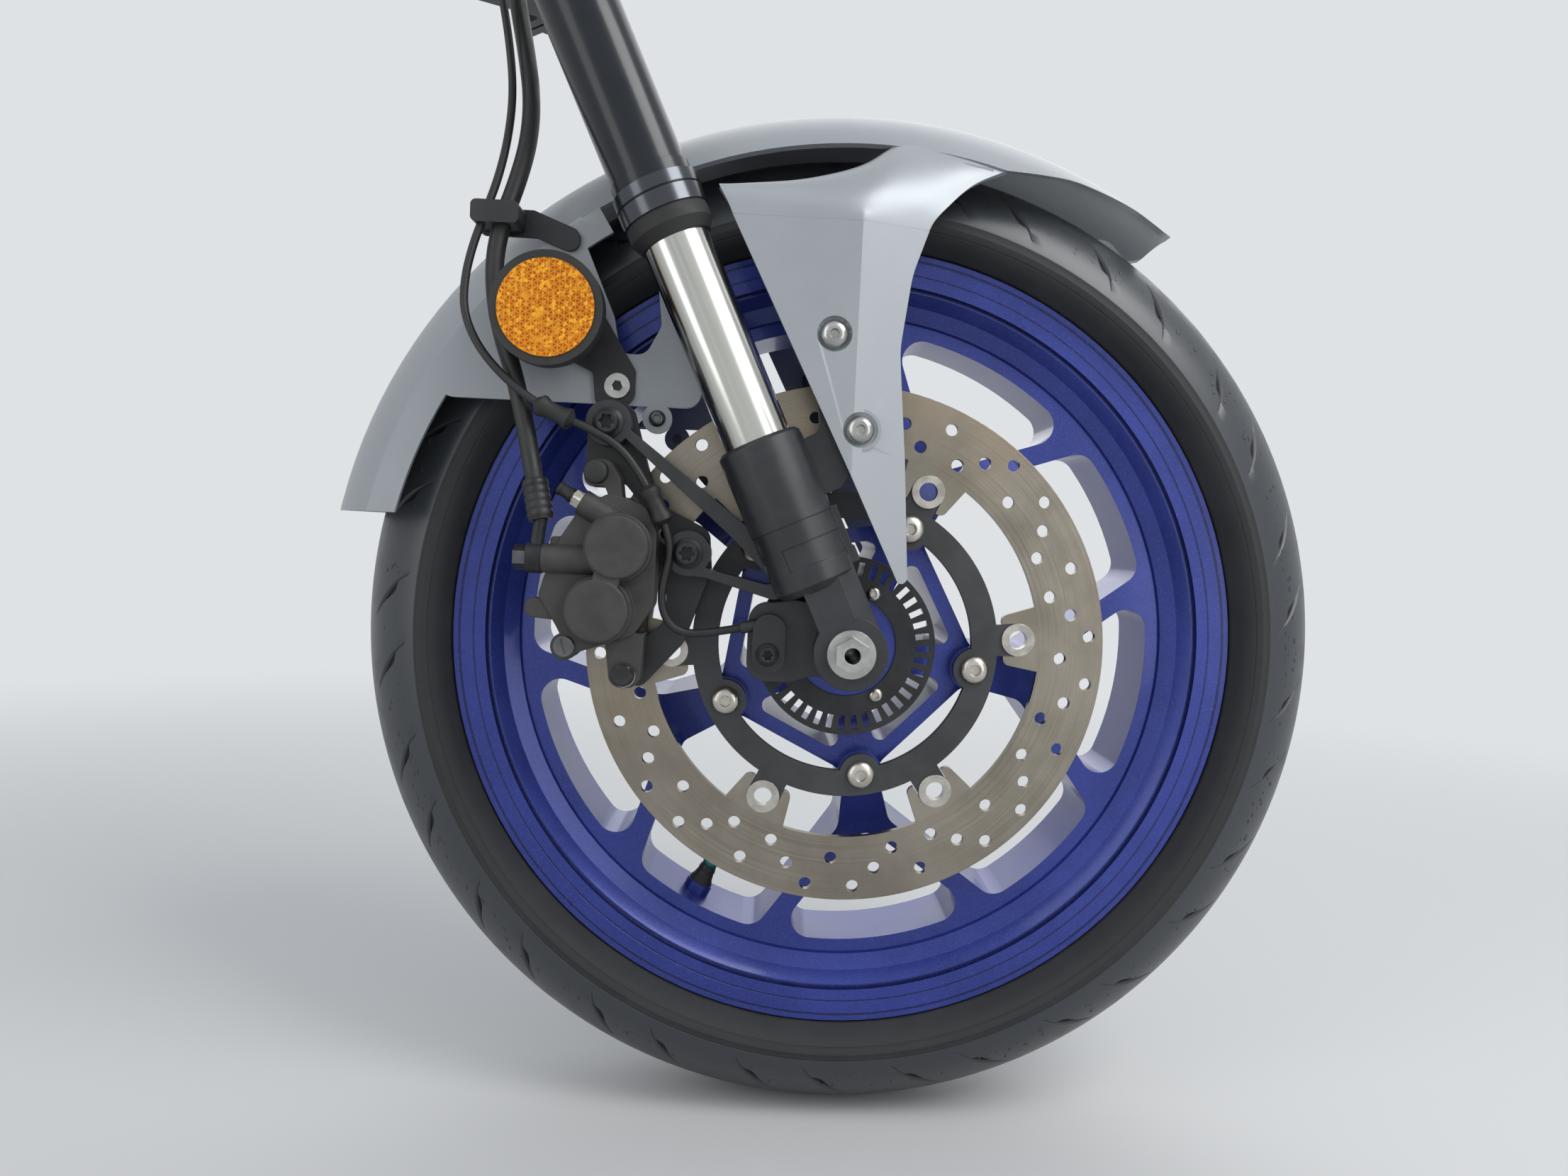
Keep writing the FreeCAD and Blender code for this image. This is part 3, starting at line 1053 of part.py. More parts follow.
def reflector_housing(side):
    y0 = side * REFLECTOR_BACK_Y
    y1 = side * (REFLECTOR_BACK_Y + REFLECTOR_DEPTH)
    body = across(REFLECTOR_X, REFLECTOR_Z, y0, y1, REFLECTOR_D / 2)
    cup = across(REFLECTOR_X, REFLECTOR_Z, y0 + side * 3, y1, REFLECTOR_LENS_D / 2)
    stud = across(*REFLECTOR_STUD, side * (PANEL_Y + GUARD_WALL + BRACKET_THICK), y0, 6)
    return fuse([body.cut(cup), stud])


def reflector_lens(side):
    y0 = side * (REFLECTOR_BACK_Y + 3)
    y1 = side * (REFLECTOR_BACK_Y + REFLECTOR_DEPTH + 1)
    return across(REFLECTOR_X, REFLECTOR_Z, y0, y1, REFLECTOR_LENS_D / 2)


def reflector_bracket(side):
    y0 = side * (PANEL_Y + GUARD_WALL)
    return side_plate([(-176, 182, 9), (-176, 160, 9), (-150, 148, 4), (-148, 130, 4),
                       (-126, 130, 8), (-126, 150, 6), (-146, 182, 9)],
                      y0, y0 + side * BRACKET_THICK)


# Sensor, hose and lead

def wheel_sensor():
    tip = HUB_RIGHT_Y - 2 - RING_THICK - SENSOR_GAP
    nose = across(SENSOR_X, SENSOR_Z, tip, -SENSOR_EAR_Y, SENSOR_NOSE_D / 2 - 0.2)
    body = side_plate([(-53, -15, 9), (-35, -15, 9), (-35, 18, 9), (-53, 18, 9)],
                      -SENSOR_EAR_Y, -SENSOR_EAR_Y - 8)
    exit_point, inward = run_out(LEAD_POINTS[::-1])
    outlet = rod(exit_point, inward, SENSOR_OUTLET_D / 2, SENSOR_OUTLET_LENGTH)
    return fuse([nose, body, outlet])


def cord_radii(points):
    radii = []
    for i in range(1, len(points) - 1):
        a, b = points[i] - points[i - 1], points[i + 1] - points[i]
        radii.append(0.45 * min(a.Length, b.Length) / math.tan(a.getAngle(b) / 2))
    return radii


def cord(spots, diameter):
    """Tube along straight runs joined by tangent arcs."""
    points = [V(*spot) for spot in spots]
    edges, here = [], points[0]
    for i, radius in enumerate(cord_radii(points), start=1):
        back = (points[i - 1] - points[i]).normalize()
        on = (points[i + 1] - points[i]).normalize()
        half = back.getAngle(on) / 2
        start = points[i] + back * (radius / math.tan(half))
        end = points[i] + on * (radius / math.tan(half))
        middle = points[i] + (back + on).normalize() * (radius / math.sin(half) - radius)
        edges.append(Part.LineSegment(here, start).toShape())
        edges.append(Part.Arc(start, middle, end).toShape())
        here = end
    edges.append(Part.LineSegment(here, points[-1]).toShape())
    path = Part.Wire(edges)
    ring = Part.Wire(Part.makeCircle(diameter / 2, points[0], points[1] - points[0]))
    return path.makePipeShell([ring], True, False), path.Length


def measured_cord(name, spots, diameter):
    """The tube, with its bends, length and volume printed."""
    tube, length = cord(spots, diameter)
    radii = cord_radii([V(*spot) for spot in spots])
    print(name, "radii", [round(radius, 1) for radius in radii])
    section = math.pi * diameter ** 2 / 4
    print(name, "length", round(length, 1), "volume ratio", round(tube.Volume / section / length, 4))
    return tube


def run_out(spots):
    """Last point of a cord and the direction in which it arrives there."""
    last, before = V(*spots[-1]), V(*spots[-2])
    return last, (last - before).normalize()


def brake_hose():
    return measured_cord("brake_hose", HOSE_POINTS, HOSE_D)


def sensor_lead():
    return measured_cord("sensor_lead", LEAD_POINTS, LEAD_D)


def banjo_bolt():
    start = V(BANJO_X[0], BANJO_Y, BANJO_Z)
    shank = rod(start, V(1, 0, 0), BANJO_BOLT_D / 2, BANJO_BOLT_LENGTH)
    return fuse([shank, hexagon(start, V(-1, 0, 0), BANJO_HEX, BANJO_HEAD)])


def hose_union():
    """Banjo eye, its neck and the crimped sleeve on the hose's end."""
    eye_x0, eye_x1 = BANJO_X
    start = V(eye_x0, BANJO_Y, BANJO_Z)
    eye = rod(start, V(1, 0, 0), BANJO_EYE_D / 2, eye_x1 - eye_x0)
    neck_start = V((eye_x0 + eye_x1) / 2, BANJO_Y, BANJO_Z)
    end, inward = run_out(HOSE_POINTS[::-1])
    sleeve_foot = end + inward * SLEEVE_LENGTH
    span = sleeve_foot - neck_start
    neck = rod(neck_start, span, NECK_D / 2, span.Length + 1)
    sleeve = rod(end, inward, SLEEVE_D / 2, SLEEVE_LENGTH)
    bolt_room = [rod(start, V(1, 0, 0), BANJO_BOLT_D / 2, eye_x1 - eye_x0),
                 rod(start, V(-1, 0, 0), BANJO_HEX / 2 + 1, BANJO_HEAD),
                 rod(V(eye_x1, BANJO_Y, BANJO_Z), V(1, 0, 0), BANJO_EYE_D / 2, SLEEVE_LENGTH)]
    return fuse([eye, neck, sleeve]).cut(Part.makeCompound(bolt_room))


def hose_guide():
    """Clip on the mudguard that holds the hose and the lead side by side."""
    y0 = -(PANEL_Y + GUARD_WALL)
    strap = side_plate([(-160, 212, 6), (-160, 226, 6), (-186, 236, 4), (-217, 236, 5),
                        (-217, 221, 5), (-184, 221, 4)], y0, y0 - BRACKET_THICK)
    block = side_plate([(-190, 235, 3), (-216, 235, 3), (-216, 223, 3), (-190, 223, 3)],
                       y0 - BRACKET_THICK, GUIDE_OUTER_Y)
    return fuse([strap, block]).cut(cord(HOSE_POINTS, HOSE_D)[0]).cut(cord(LEAD_POINTS, LEAD_D)[0])


def hose_joint():
    """Union under the lower yoke where the hose ends."""
    end, direction = run_out(HOSE_POINTS)
    sleeve = rod(end, direction, SLEEVE_D / 2, SLEEVE_LENGTH)
    block = leg_plate([(-46, -50, 3), (-20, -50, 3), (-20, -28, 3), (-46, -28, 3)],
                      LOWER_YOKE_FOOT - JOINT_HEIGHT, LOWER_YOKE_FOOT)
    return fuse([sleeve, block])


def lead_plug():
    """Connector on the lead's end, clipped under the lower yoke."""
    end, direction = run_out(LEAD_POINTS)
    shell = rod(end, direction, PLUG_D / 2, PLUG_LENGTH)
    clip = leg_plate([(-42, -66, 2), (-26, -66, 2), (-26, -54, 2), (-42, -54, 2)],
                     LOWER_YOKE_FOOT - PLUG_CLIP_HEIGHT, LOWER_YOKE_FOOT)
    return fuse([shell, clip])


NODES = {
    "mudguard": mudguard,
    "guard_stay_r": lambda: guard_stay(-1),
    "guard_stay_l": lambda: guard_stay(1),
    "reflector_housing_r": lambda: reflector_housing(-1),
    "reflector_housing_l": lambda: reflector_housing(1),
    "reflector_lens_r": lambda: reflector_lens(-1),
    "reflector_lens_l": lambda: reflector_lens(1),
    "reflector_bracket_r": lambda: reflector_bracket(-1),
    "reflector_bracket_l": lambda: reflector_bracket(1),
    "wheel_sensor": wheel_sensor,
    "brake_hose": brake_hose,
    "sensor_lead": sensor_lead,
    "banjo_bolt": banjo_bolt,
    "hose_union": hose_union,
    "hose_guide": hose_guide,
    "wheel_casting": wheel_casting,
    "tyre": tyre,
    "wheel_bearings": wheel_bearings,
    "valve": valve,
    "disc_band": disc_band,
    "disc_carrier": disc_carrier,
    "disc_bobbins": disc_bobbins,
    "speed_ring": speed_ring,
    "axle": axle,
    "wheel_spacers": wheel_spacers,
    "casting_r": lambda: casting(-1),
    "casting_l": lambda: casting(1),
    "inner_tube_r": lambda: inner_tube(-1),
    "inner_tube_l": lambda: inner_tube(1),
    "outer_tube_r": lambda: outer_tube(-1),
    "outer_tube_l": lambda: outer_tube(1),
    "dust_seal_r": lambda: dust_seal(-1),
    "dust_seal_l": lambda: dust_seal(1),
    "fork_cap_r": lambda: fork_cap(-1),
    "fork_cap_l": lambda: fork_cap(1),
    "lower_yoke": lower_yoke,
    "upper_yoke": upper_yoke,
    "steering_stem": steering_stem,
    "stem_nut": stem_nut,
    "bearing_adjuster": bearing_adjuster,
    "head_tube": head_tube,
    "head_bearings": head_bearings,
    "caliper_body": caliper_body,
    "caliper_pistons": caliper_pistons,
    "hose_joint": hose_joint,
    "lead_plug": lead_plug,
    "caliper_bracket": caliper_bracket,
    "brake_pads": brake_pads,
    "slide_pins": slide_pins,
}

os.makedirs("parts", exist_ok=True)
for name, make in NODES.items():
    save(name, make())
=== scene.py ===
# %% [markdown]
# # The front end of a sport motorcycle
# This notebook dresses a measured front end: a cast wheel with its brake disc, a fork and a mudguard.
# The measured solids are loaded first and stay where they are. Each later step says what one piece or
# finish is on the real machine, how it could be made, and why it is made as it is.

# %% Load the measured solids
import json
import math

import bmesh
import bpy
from mathutils import Matrix, Vector
from mathutils.bvhtree import BVHTree


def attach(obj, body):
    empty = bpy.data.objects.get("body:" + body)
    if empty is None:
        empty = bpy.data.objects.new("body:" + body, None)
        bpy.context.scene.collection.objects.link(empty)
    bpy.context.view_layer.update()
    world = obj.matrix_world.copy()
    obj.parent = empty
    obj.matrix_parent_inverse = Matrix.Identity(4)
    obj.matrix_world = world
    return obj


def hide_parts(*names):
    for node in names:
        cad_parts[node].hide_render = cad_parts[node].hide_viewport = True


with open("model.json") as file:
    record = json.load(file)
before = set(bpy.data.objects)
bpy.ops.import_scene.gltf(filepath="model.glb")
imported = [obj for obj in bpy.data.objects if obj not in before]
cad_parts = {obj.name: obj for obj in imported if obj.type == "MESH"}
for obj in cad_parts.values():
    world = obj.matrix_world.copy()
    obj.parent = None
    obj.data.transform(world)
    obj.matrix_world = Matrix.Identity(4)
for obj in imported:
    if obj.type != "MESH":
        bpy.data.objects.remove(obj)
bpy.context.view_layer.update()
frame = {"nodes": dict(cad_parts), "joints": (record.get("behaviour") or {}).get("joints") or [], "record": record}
SOLIDS = frame["nodes"]

# %% [markdown]
# Every place on a motorcycle's front is measured from two lines: the wheel's axle and the steering axis.
# Both are read from the joints, so that this file repeats neither. Small pieces are easier to place in
# millimetres from the axle, so small helpers turn such places into the scene's metres.

# %% Places measured from the axle
MM = 0.001
JOINTS = {joint["name"]: joint for joint in frame["joints"]}
AXLE = Vector(JOINTS["wheel_roll"]["pos_m"])
UP = Vector(JOINTS["steering"]["axis"]).normalized()
FORWARD = Vector((UP.z, 0, -UP.x))
Y_AXIS, Z_AXIS = Vector((0, 1, 0)), Vector((0, 0, 1))
RIGHT, LEFT = -1, 1
BOTH_SIDES = (RIGHT, LEFT)


def way(degrees):
    """How far a direction at this angle goes forward and how far up."""
    return math.cos(math.radians(degrees)), math.sin(math.radians(degrees))


def at(x, y, z):
    """A place in millimetres from the axle's middle: forward, to the rider's left, up."""
    return AXLE + Vector((x, y, z)) * MM


def leg(s, n, y):
    """A place at height s up the fork, n forward of the axle's line and y to the left, in millimetres."""
    return AXLE + (UP * s + FORWARD * n + Y_AXIS * y) * MM


print("axle at", AXLE, "steering axis along", UP)

# %% [markdown]
# The photograph was taken from the machine's right, a little above the axle and about 0.7 m away, with a
# wide lens. Such a near camera bends the wheel's depth strongly, so its place matters more than its lens.
# The camera turns about the vertical first, then dips, then rolls about its own line of sight.

# %% The camera
CAMERA_SPOT = at(-45.6, -689, 61.3)
CAMERA_YAW, CAMERA_DIP, CAMERA_ROLL = -0.82, 2.76, 2.70
scene = bpy.context.scene


def placed(name, data):
    """A new object of the scene that shows this data."""
    made = bpy.data.objects.new(name, data)
    scene.collection.objects.link(made)
    return made


camera_data = bpy.data.cameras.new("camera")
camera_data.sensor_width, camera_data.lens = 36, 25
camera_data.clip_start = 0.01
camera = placed("camera", camera_data)
turn = (Matrix.Rotation(math.radians(CAMERA_YAW), 4, "Z")
        @ Matrix.Rotation(math.radians(90 - CAMERA_DIP), 4, "X")
        @ Matrix.Rotation(math.radians(CAMERA_ROLL), 4, "Z"))
camera.matrix_world = Matrix.Translation(CAMERA_SPOT) @ turn
scene.camera = camera
print("camera at", camera.matrix_world.translation)

# %% [markdown]
# The brake hose and the wheel sensor's lead are held all the way by their clips, so their routes follow
# the photograph point by point. A curve with a round bevel keeps one smooth line through the turns. Order
# three and the end points are set after the points, because set before them they are lost.

# %% The hose and the lead
HOSE_D, LEAD_D = 10.0, 4.5
HOSE_POINTS = (
    (-175, -95, 85), (-179, -93, 103), (-184, -90, 122), (-190, -87, 143), (-198, -85, 164),
    (-203, -83.5, 186), (-204, -82, 208), (-200, -80, 229), (-194, -76, 250), (-190, -70, 274),
    (-191, -62, 300), (-197, -54, 328), (-204, -47, 356), (-210, -42, 383))
LEAD_POINTS = (
    (-60, -92, 9.5), (-76, -92.5, 6), (-91, -93, 5), (-100, -94, 10.5), (-104, -95, 22), (-102.5, -96, 36),
    (-99.5, -97, 49), (-102, -98, 62), (-109, -99, 76), (-117, -99, 90), (-127, -99, 103), (-141, -99, 112),
    (-157, -98.5, 118), (-175, -98, 126), (-193, -96.5, 139), (-208, -95, 155), (-217, -92, 173),
    (-218, -89.5, 191), (-215, -87, 210), (-209.5, -84, 229), (-204, -79, 250), (-201, -72, 275),
    (-201, -65, 302), (-205, -61, 330), (-210.5, -60, 357), (-216, -60.5, 383))
POINT_SIZE = 0.01  # a point's size widens the box that Blender gives a curve, so it is kept small


def cord_curve(name, points, diameter):
    """A round cord along a smooth line with these places as its control points."""
    curve = bpy.data.curves.new(name, "CURVE")
    curve.dimensions = "3D"
    curve.resolution_u = 12
    curve.bevel_depth = diameter / 2 * MM / POINT_SIZE
    curve.bevel_resolution = 6
    curve.use_fill_caps = True
    spline = curve.splines.new("NURBS")
    spline.points.add(len(points) - 1)
    for control, spot in zip(spline.points, points):
        control.co = (*at(*spot), 1)
        control.radius = POINT_SIZE
    spline.order_u = 3
    spline.use_endpoint_u = True
    made = placed(name, curve)
    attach(made, "fork")
    return made


hose = cord_curve("hose", HOSE_POINTS, HOSE_D)
lead = cord_curve("lead", LEAD_POINTS, LEAD_D)
for piece, solid in ((hose, "brake_hose"), (lead, "sensor_lead")):
    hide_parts(solid)
print(len(HOSE_POINTS), "points on the hose,", len(LEAD_POINTS), "on the lead")

# %% [markdown]
# Materials, the world and the growing tools are all node trees. Small helpers add a node, set its values
# and link its sockets, so each tree below reads from top to bottom like a recipe.

# %% Helpers for node trees


def node(tree, kind, inputs=None, **settings):
    """Add a node to a shader or geometry tree. A socket given as an input is linked to it."""
    made = tree.nodes.new(kind)
    for name, value in settings.items():
        setattr(made, name, value)
    for name, value in (inputs or {}).items():
        socket = made.inputs[name]
        if isinstance(value, bpy.types.NodeSocket):
            tree.links.new(value, socket)
        else:
            socket.default_value = value
    return made


def maths(tree, operation, *values):
    """One step of arithmetic on sockets or numbers."""
    return node(tree, "ShaderNodeMath", dict(enumerate(values)), operation=operation).outputs[0]


def vectors(tree, operation, first, second, output=0):
    """One step of arithmetic on two vectors."""
    return node(tree, "ShaderNodeVectorMath", {0: first, 1: second}, operation=operation).outputs[output]


def ramp(tree, value, low, high, to_low=0.0, to_high=1.0):
    """A smooth step of a value from one level to another."""
    levels = {"Value": value, "From Min": low, "From Max": high, "To Min": to_low, "To Max": to_high}
    return node(tree, "ShaderNodeMapRange", levels, interpolation_type="SMOOTHSTEP").outputs[0]


def piece_space(tree):
    """A point's place in its piece's own space, in metres."""
    return node(tree, "ShaderNodeTexCoord").outputs["Object"]


def noise(tree, space, scale, detail, roughness=0.5):
    """A soft random pattern with this many waves per metre."""
    waves = {"Vector": space, "Scale": scale, "Detail": detail, "Roughness": roughness}
    return node(tree, "ShaderNodeTexNoise", waves).outputs["Fac"]


def cells(tree, scale, channel):
    """A random value for each small cell of the surface."""
    found = node(tree, "ShaderNodeTexVoronoi", {"Vector": piece_space(tree), "Scale": scale})
    return node(tree, "ShaderNodeSeparateColor", {0: found.outputs["Color"]}).outputs[channel]


print("node helpers ready")

# %% [markdown]
# A plain pale floor and soft light let the finishes speak. The floor lies at the tyre's foot. Far from
# the wheel it fades into the same pale grey that the camera sees as the world, so no horizon shows. The
# world lights evenly like an overcast sky, and four large soft lamps give the shapes their edges.

# %% Floor, world and lamps
TYRE_R = 292.0
FLOOR_GAP = 0.3
FLOOR_HALF = 7.0
FLOOR_COLOUR = (0.6, 0.6, 0.59, 1)
SKY_LIGHT = (0.84, 0.9, 1, 1)
BACKGROUND = (0.74, 0.76, 0.78, 1)
FADE_FROM, FADE_TO = 0.5, 2.2
LAMPS = (  # name, place, aimed at, width and height in metres, watts
    ("sun_side", (1100, -900, 1500), (0, 0, 0), (1.0, 1.0), 24),
    ("front_sheet", (1300, -1700, 500), (0, 0, 60), (0.8, 2.0), 9),
    ("rear_sheet", (-1500, -1300, 700), (-100, 0, 100), (0.7, 2.0), 9),
    ("far_side", (300, 1500, 1200), (0, 0, 0), (2.0, 2.0), 14),
)


def shown_only(tree):
    """One where the camera or a mirror or clear finish looks, nought where a surface is lit."""
    path = node(tree, "ShaderNodeLightPath")
    seen = maths(tree, "MAXIMUM", path.outputs["Is Camera Ray"], path.outputs["Is Glossy Ray"])
    return maths(tree, "MAXIMUM", seen, path.outputs["Is Transmission Ray"])


world = bpy.data.worlds.new("world")
scene.world = world
world.use_nodes = True
tree = world.node_tree
tree.nodes.clear()
lit = node(tree, "ShaderNodeBackground", {"Color": SKY_LIGHT, "Strength": 0.55})
seen = node(tree, "ShaderNodeBackground", {"Color": BACKGROUND, "Strength": 1.0})
mixed = node(tree, "ShaderNodeMixShader", {0: shown_only(tree), 1: lit.outputs[0], 2: seen.outputs[0]})
node(tree, "ShaderNodeOutputWorld", {"Surface": mixed.outputs[0]})

floor_mesh = bpy.data.meshes.new("floor")
floor_z = at(0, 0, -TYRE_R - FLOOR_GAP).z
floor_corners = [(x * FLOOR_HALF, y * FLOOR_HALF, floor_z) for x, y in ((-1, -1), (1, -1), (1, 1), (-1, 1))]
floor_mesh.from_pydata(floor_corners, [], [(0, 1, 2, 3)])
floor = placed("floor", floor_mesh)
floor_paint = bpy.data.materials.new("floor_paint")
floor_paint.use_nodes = True
tree = floor_paint.node_tree
board = tree.nodes["Principled BSDF"]
board.inputs["Base Color"].default_value = FLOOR_COLOUR
board.inputs["Roughness"].default_value = 0.85
away = vectors(tree, "DISTANCE", piece_space(tree), (AXLE.x, 0, floor_z), "Value")
far = maths(tree, "MULTIPLY", ramp(tree, away, FADE_FROM, FADE_TO), shown_only(tree))
glow = node(tree, "ShaderNodeEmission", {"Color": BACKGROUND, "Strength": 1.0})
faded = node(tree, "ShaderNodeMixShader", {0: far, 1: board.outputs[0], 2: glow.outputs[0]})
tree.links.new(faded.outputs[0], tree.nodes["Material Output"].inputs["Surface"])
floor_mesh.materials.append(floor_paint)

for name, spot, aim, (width, height), watts in LAMPS:
    data = bpy.data.lights.new(name, "AREA")
    data.shape, data.size, data.size_y, data.energy = "RECTANGLE", width, height, watts
    lamp = placed(name, data)
    lamp.location = at(*spot)
    lamp.rotation_euler = (at(*aim) - at(*spot)).to_track_quat("-Z", "Y").to_euler()
scene.view_settings.view_transform = "Standard"
print(len(LAMPS), "lamps, floor at", floor_z)

# %% [markdown]
# Each finish starts from one recipe. Real surfaces are never one flat value: paint mottles a little,
# castings are grainy, and handling polishes some spots more than others. So the recipe takes two
# colours, two roughness values and a grain depth, and blends them by noise in the piece's own space.
# A stretch along one direction turns the noise into streaks. In roughness they are as on a drawn or wiped
# tube; in the chrome's colour they are painted reflection bands.

# %% The recipe for a finish
FINISHES = {}


def bump(tree, height, depth, normal):
    """The shading of a relief by a height pattern, with this depth in millimetres."""
    return node(tree, "ShaderNodeBump", {"Height": height, "Distance": depth * MM, "Strength": 1.0,
                                         "Normal": normal}).outputs[0]


def mixed_colour(tree, mask, before, after):
    """One colour where the mask is nought and another where it is one."""
    return node(tree, "ShaderNodeMix", {0: mask, 6: before, 7: after}, data_type="RGBA").outputs[2]


def finish(name, dark, light, smooth, rough, mottle, grain, depth, metallic=0.0, edge=0.35, streak=None,
           **shader_inputs):
    """Add a finish. Mottle and grain are waves per metre, depth and edge are in millimetres."""
    made = bpy.data.materials.new(name)
    made.use_nodes = True
    tree = made.node_tree
    tree.nodes.clear()
    space = piece_space(tree)
    if streak:
        lean, stretch = streak
        stretched = {"Vector": space, "Rotation": (0, lean, 0), "Scale": (1, 1, stretch)}
        space = node(tree, "ShaderNodeMapping", stretched, vector_type="TEXTURE").outputs[0]
    patches = noise(tree, space, mottle, 6.0, 0.62)
    tint = mixed_colour(tree, ramp(tree, patches, 0.35, 0.65), (*dark, 1), (*light, 1))
    soft = node(tree, "ShaderNodeBevel", {"Radius": edge * MM}, samples=4).outputs[0]
    relief = bump(tree, noise(tree, space, grain, 3.0), depth, soft)
    inputs = {key.replace("_", " "): value for key, value in shader_inputs.items()}
    shader = node(tree, "ShaderNodeBsdfPrincipled",
                  {"Base Color": tint, "Roughness": ramp(tree, patches, 0.3, 0.7, smooth, rough),
                   "Metallic": metallic, "Normal": relief, **inputs})
    shader.name = "coat"
    node(tree, "ShaderNodeOutputMaterial", {"Surface": shader.outputs[0]})
    FINISHES[name] = made


print("finish recipe ready")

# %% [markdown]
# Some finishes change from place to place: a tyre's shoulder is smoother than its side wall, a rim has
# fine turned grooves. Two helpers paint over a finish or carve into it where a mask is one. The masks
# come from a point's radius about the axle, or from its height up the fork.

# %% Painting and carving a finish by place


def mix_into(material, mask, share=1.0, **changes):
    """Blend up to this share of new values into the finish's sockets where the mask is one."""
    tree = material.node_tree
    shader = tree.nodes["coat"]
    if share < 1:
        mask = maths(tree, "MULTIPLY", mask, share)
    for name, value in changes.items():
        socket = shader.inputs[name.replace("_", " ")]
        before = socket.links[0].from_socket if socket.is_linked else socket.default_value
        if isinstance(value, tuple):
            after = mixed_colour(tree, mask, before, (*value, 1))
        else:
            after = node(tree, "ShaderNodeMix", {0: mask, 2: before, 3: value}, data_type="FLOAT").outputs[0]
        tree.links.new(after, socket)


def carve(material, height, depth):
    """Sink the surface's shading by a height pattern, with this depth in millimetres."""
    tree = material.node_tree
    socket = tree.nodes["coat"].inputs["Normal"]
    tree.links.new(bump(tree, height, depth, socket.links[0].from_socket), socket)


def axle_space(tree):
    """A point's radius about the axle in millimetres, and its turn about it in radians."""
    moved = vectors(tree, "SUBTRACT", piece_space(tree), tuple(AXLE))
    x, y, z = node(tree, "ShaderNodeSeparateXYZ", {0: moved}).outputs
    squares = maths(tree, "MULTIPLY_ADD", z, z, maths(tree, "MULTIPLY", x, x))
    return maths(tree, "DIVIDE", maths(tree, "SQRT", squares), MM), maths(tree, "ARCTAN2", z, x)


def fork_height(tree):
    """A point's height up the fork, in millimetres."""
    moved = vectors(tree, "SUBTRACT", piece_space(tree), tuple(AXLE))
    return maths(tree, "DIVIDE", vectors(tree, "DOT_PRODUCT", moved, tuple(UP), "Value"), MM)


def band(tree, value, middle, half_width, blur):
    """One within half_width of the middle value, falling to nought over the blur."""
    away = maths(tree, "ABSOLUTE", maths(tree, "SUBTRACT", value, middle))
    return ramp(tree, away, half_width + blur, half_width)


def groove(material, value, middle, half_width, blur, depth):
    """Carve a groove where the value is near its middle, and return the mask of its line."""
    line = band(material.node_tree, value, middle, half_width, blur)
    carve(material, maths(material.node_tree, "SUBTRACT", 1.0, line), depth)
    return line


print("paint and carve ready")

# %% [markdown]
# Most pieces of the fork are plain trades finishes: satin black powder coat on castings, gloss black on
# the outer tubes, chrome on the inner ones, and zinc on bolts. A list sets them side by side. Each has its
# darker and lighter colour, its least and greatest roughness, its mottle and its grain, and the grain's
# depth, and then what else sets it apart.

# %% The plain finishes
FORK_LEAN = math.atan2(UP.x, UP.z)
finish("wheel_paint", (0.02, 0.034, 0.21), (0.028, 0.046, 0.27), 0.3, 0.38, 12, 5200, 0.01, metallic=0.3,
       Coat_Weight=0.3, Coat_Roughness=0.1, IOR=1.42)
finish("tyre_rubber", (0.017, 0.0175, 0.019), (0.026, 0.0265, 0.028), 0.7, 0.82, 22, 2500, 0.04)
finish("guard_paint", (0.3, 0.32, 0.34), (0.33, 0.35, 0.37), 0.4, 0.46, 7, 6500, 0.006, metallic=0.3,
       Coat_Weight=0.15, Coat_Roughness=0.3)
finish("cast_black", (0.016, 0.0175, 0.02), (0.027, 0.029, 0.032), 0.3, 0.42, 30, 2600, 0.03, edge=0.9)
finish("tube_black", (0.008, 0.01, 0.014), (0.012, 0.015, 0.02), 0.2, 0.28, 8, 900, 0.002, IOR=1.36,
       Coat_Weight=0.12, Coat_Roughness=0.06)
# the chrome's dark and light colours, streaked along the fork, are painted reflection bands
finish("tube_chrome", (0.22, 0.22, 0.21), (0.56, 0.56, 0.52), 0.1, 0.22, 75, 1800, 0.001, metallic=1.0,
       edge=0.2, streak=(FORK_LEAN, 60.0))
finish("seal_rubber", (0.009, 0.009, 0.009), (0.015, 0.015, 0.015), 0.5, 0.7, 60, 1800, 0.02)
finish("turned_steel", (0.36, 0.36, 0.35), (0.5, 0.5, 0.49), 0.22, 0.38, 60, 1400, 0.01, metallic=1.0)
finish("disc_steel", (0.25, 0.225, 0.185), (0.33, 0.3, 0.25), 0.3, 0.4, 16, 1400, 0.004, metallic=1.0)
finish("carrier_black", (0.026, 0.026, 0.027), (0.04, 0.04, 0.041), 0.4, 0.55, 40, 2200, 0.02)
finish("bobbin_zinc", (0.42, 0.4, 0.35), (0.54, 0.52, 0.47), 0.2, 0.4, 90, 1500, 0.01, metallic=1.0)
finish("ring_steel", (0.014, 0.014, 0.016), (0.026, 0.026, 0.028), 0.4, 0.52, 60, 1500, 0.01, metallic=0.3)
finish("caliper_cast", (0.03, 0.028, 0.026), (0.048, 0.045, 0.042), 0.5, 0.66, 55, 1300, 0.16, edge=1.6)
finish("bracket_black", (0.012, 0.012, 0.013), (0.022, 0.022, 0.023), 0.4, 0.55, 40, 2400, 0.03, edge=0.5)
finish("pad_compound", (0.05, 0.045, 0.04), (0.12, 0.1, 0.09), 0.7, 0.9, 400, 2500, 0.1, metallic=0.2)
# the lens has a faint emission: a painted glow, since a reflector is no lamp
finish("amber_lens", (0.36, 0.085, 0.001), (0.46, 0.12, 0.0015), 0.3, 0.4, 40, 900, 0, Coat_Weight=0.1,
       IOR=1.3, Emission_Color=(0.75, 0.22, 0.01, 1), Emission_Strength=0.05)
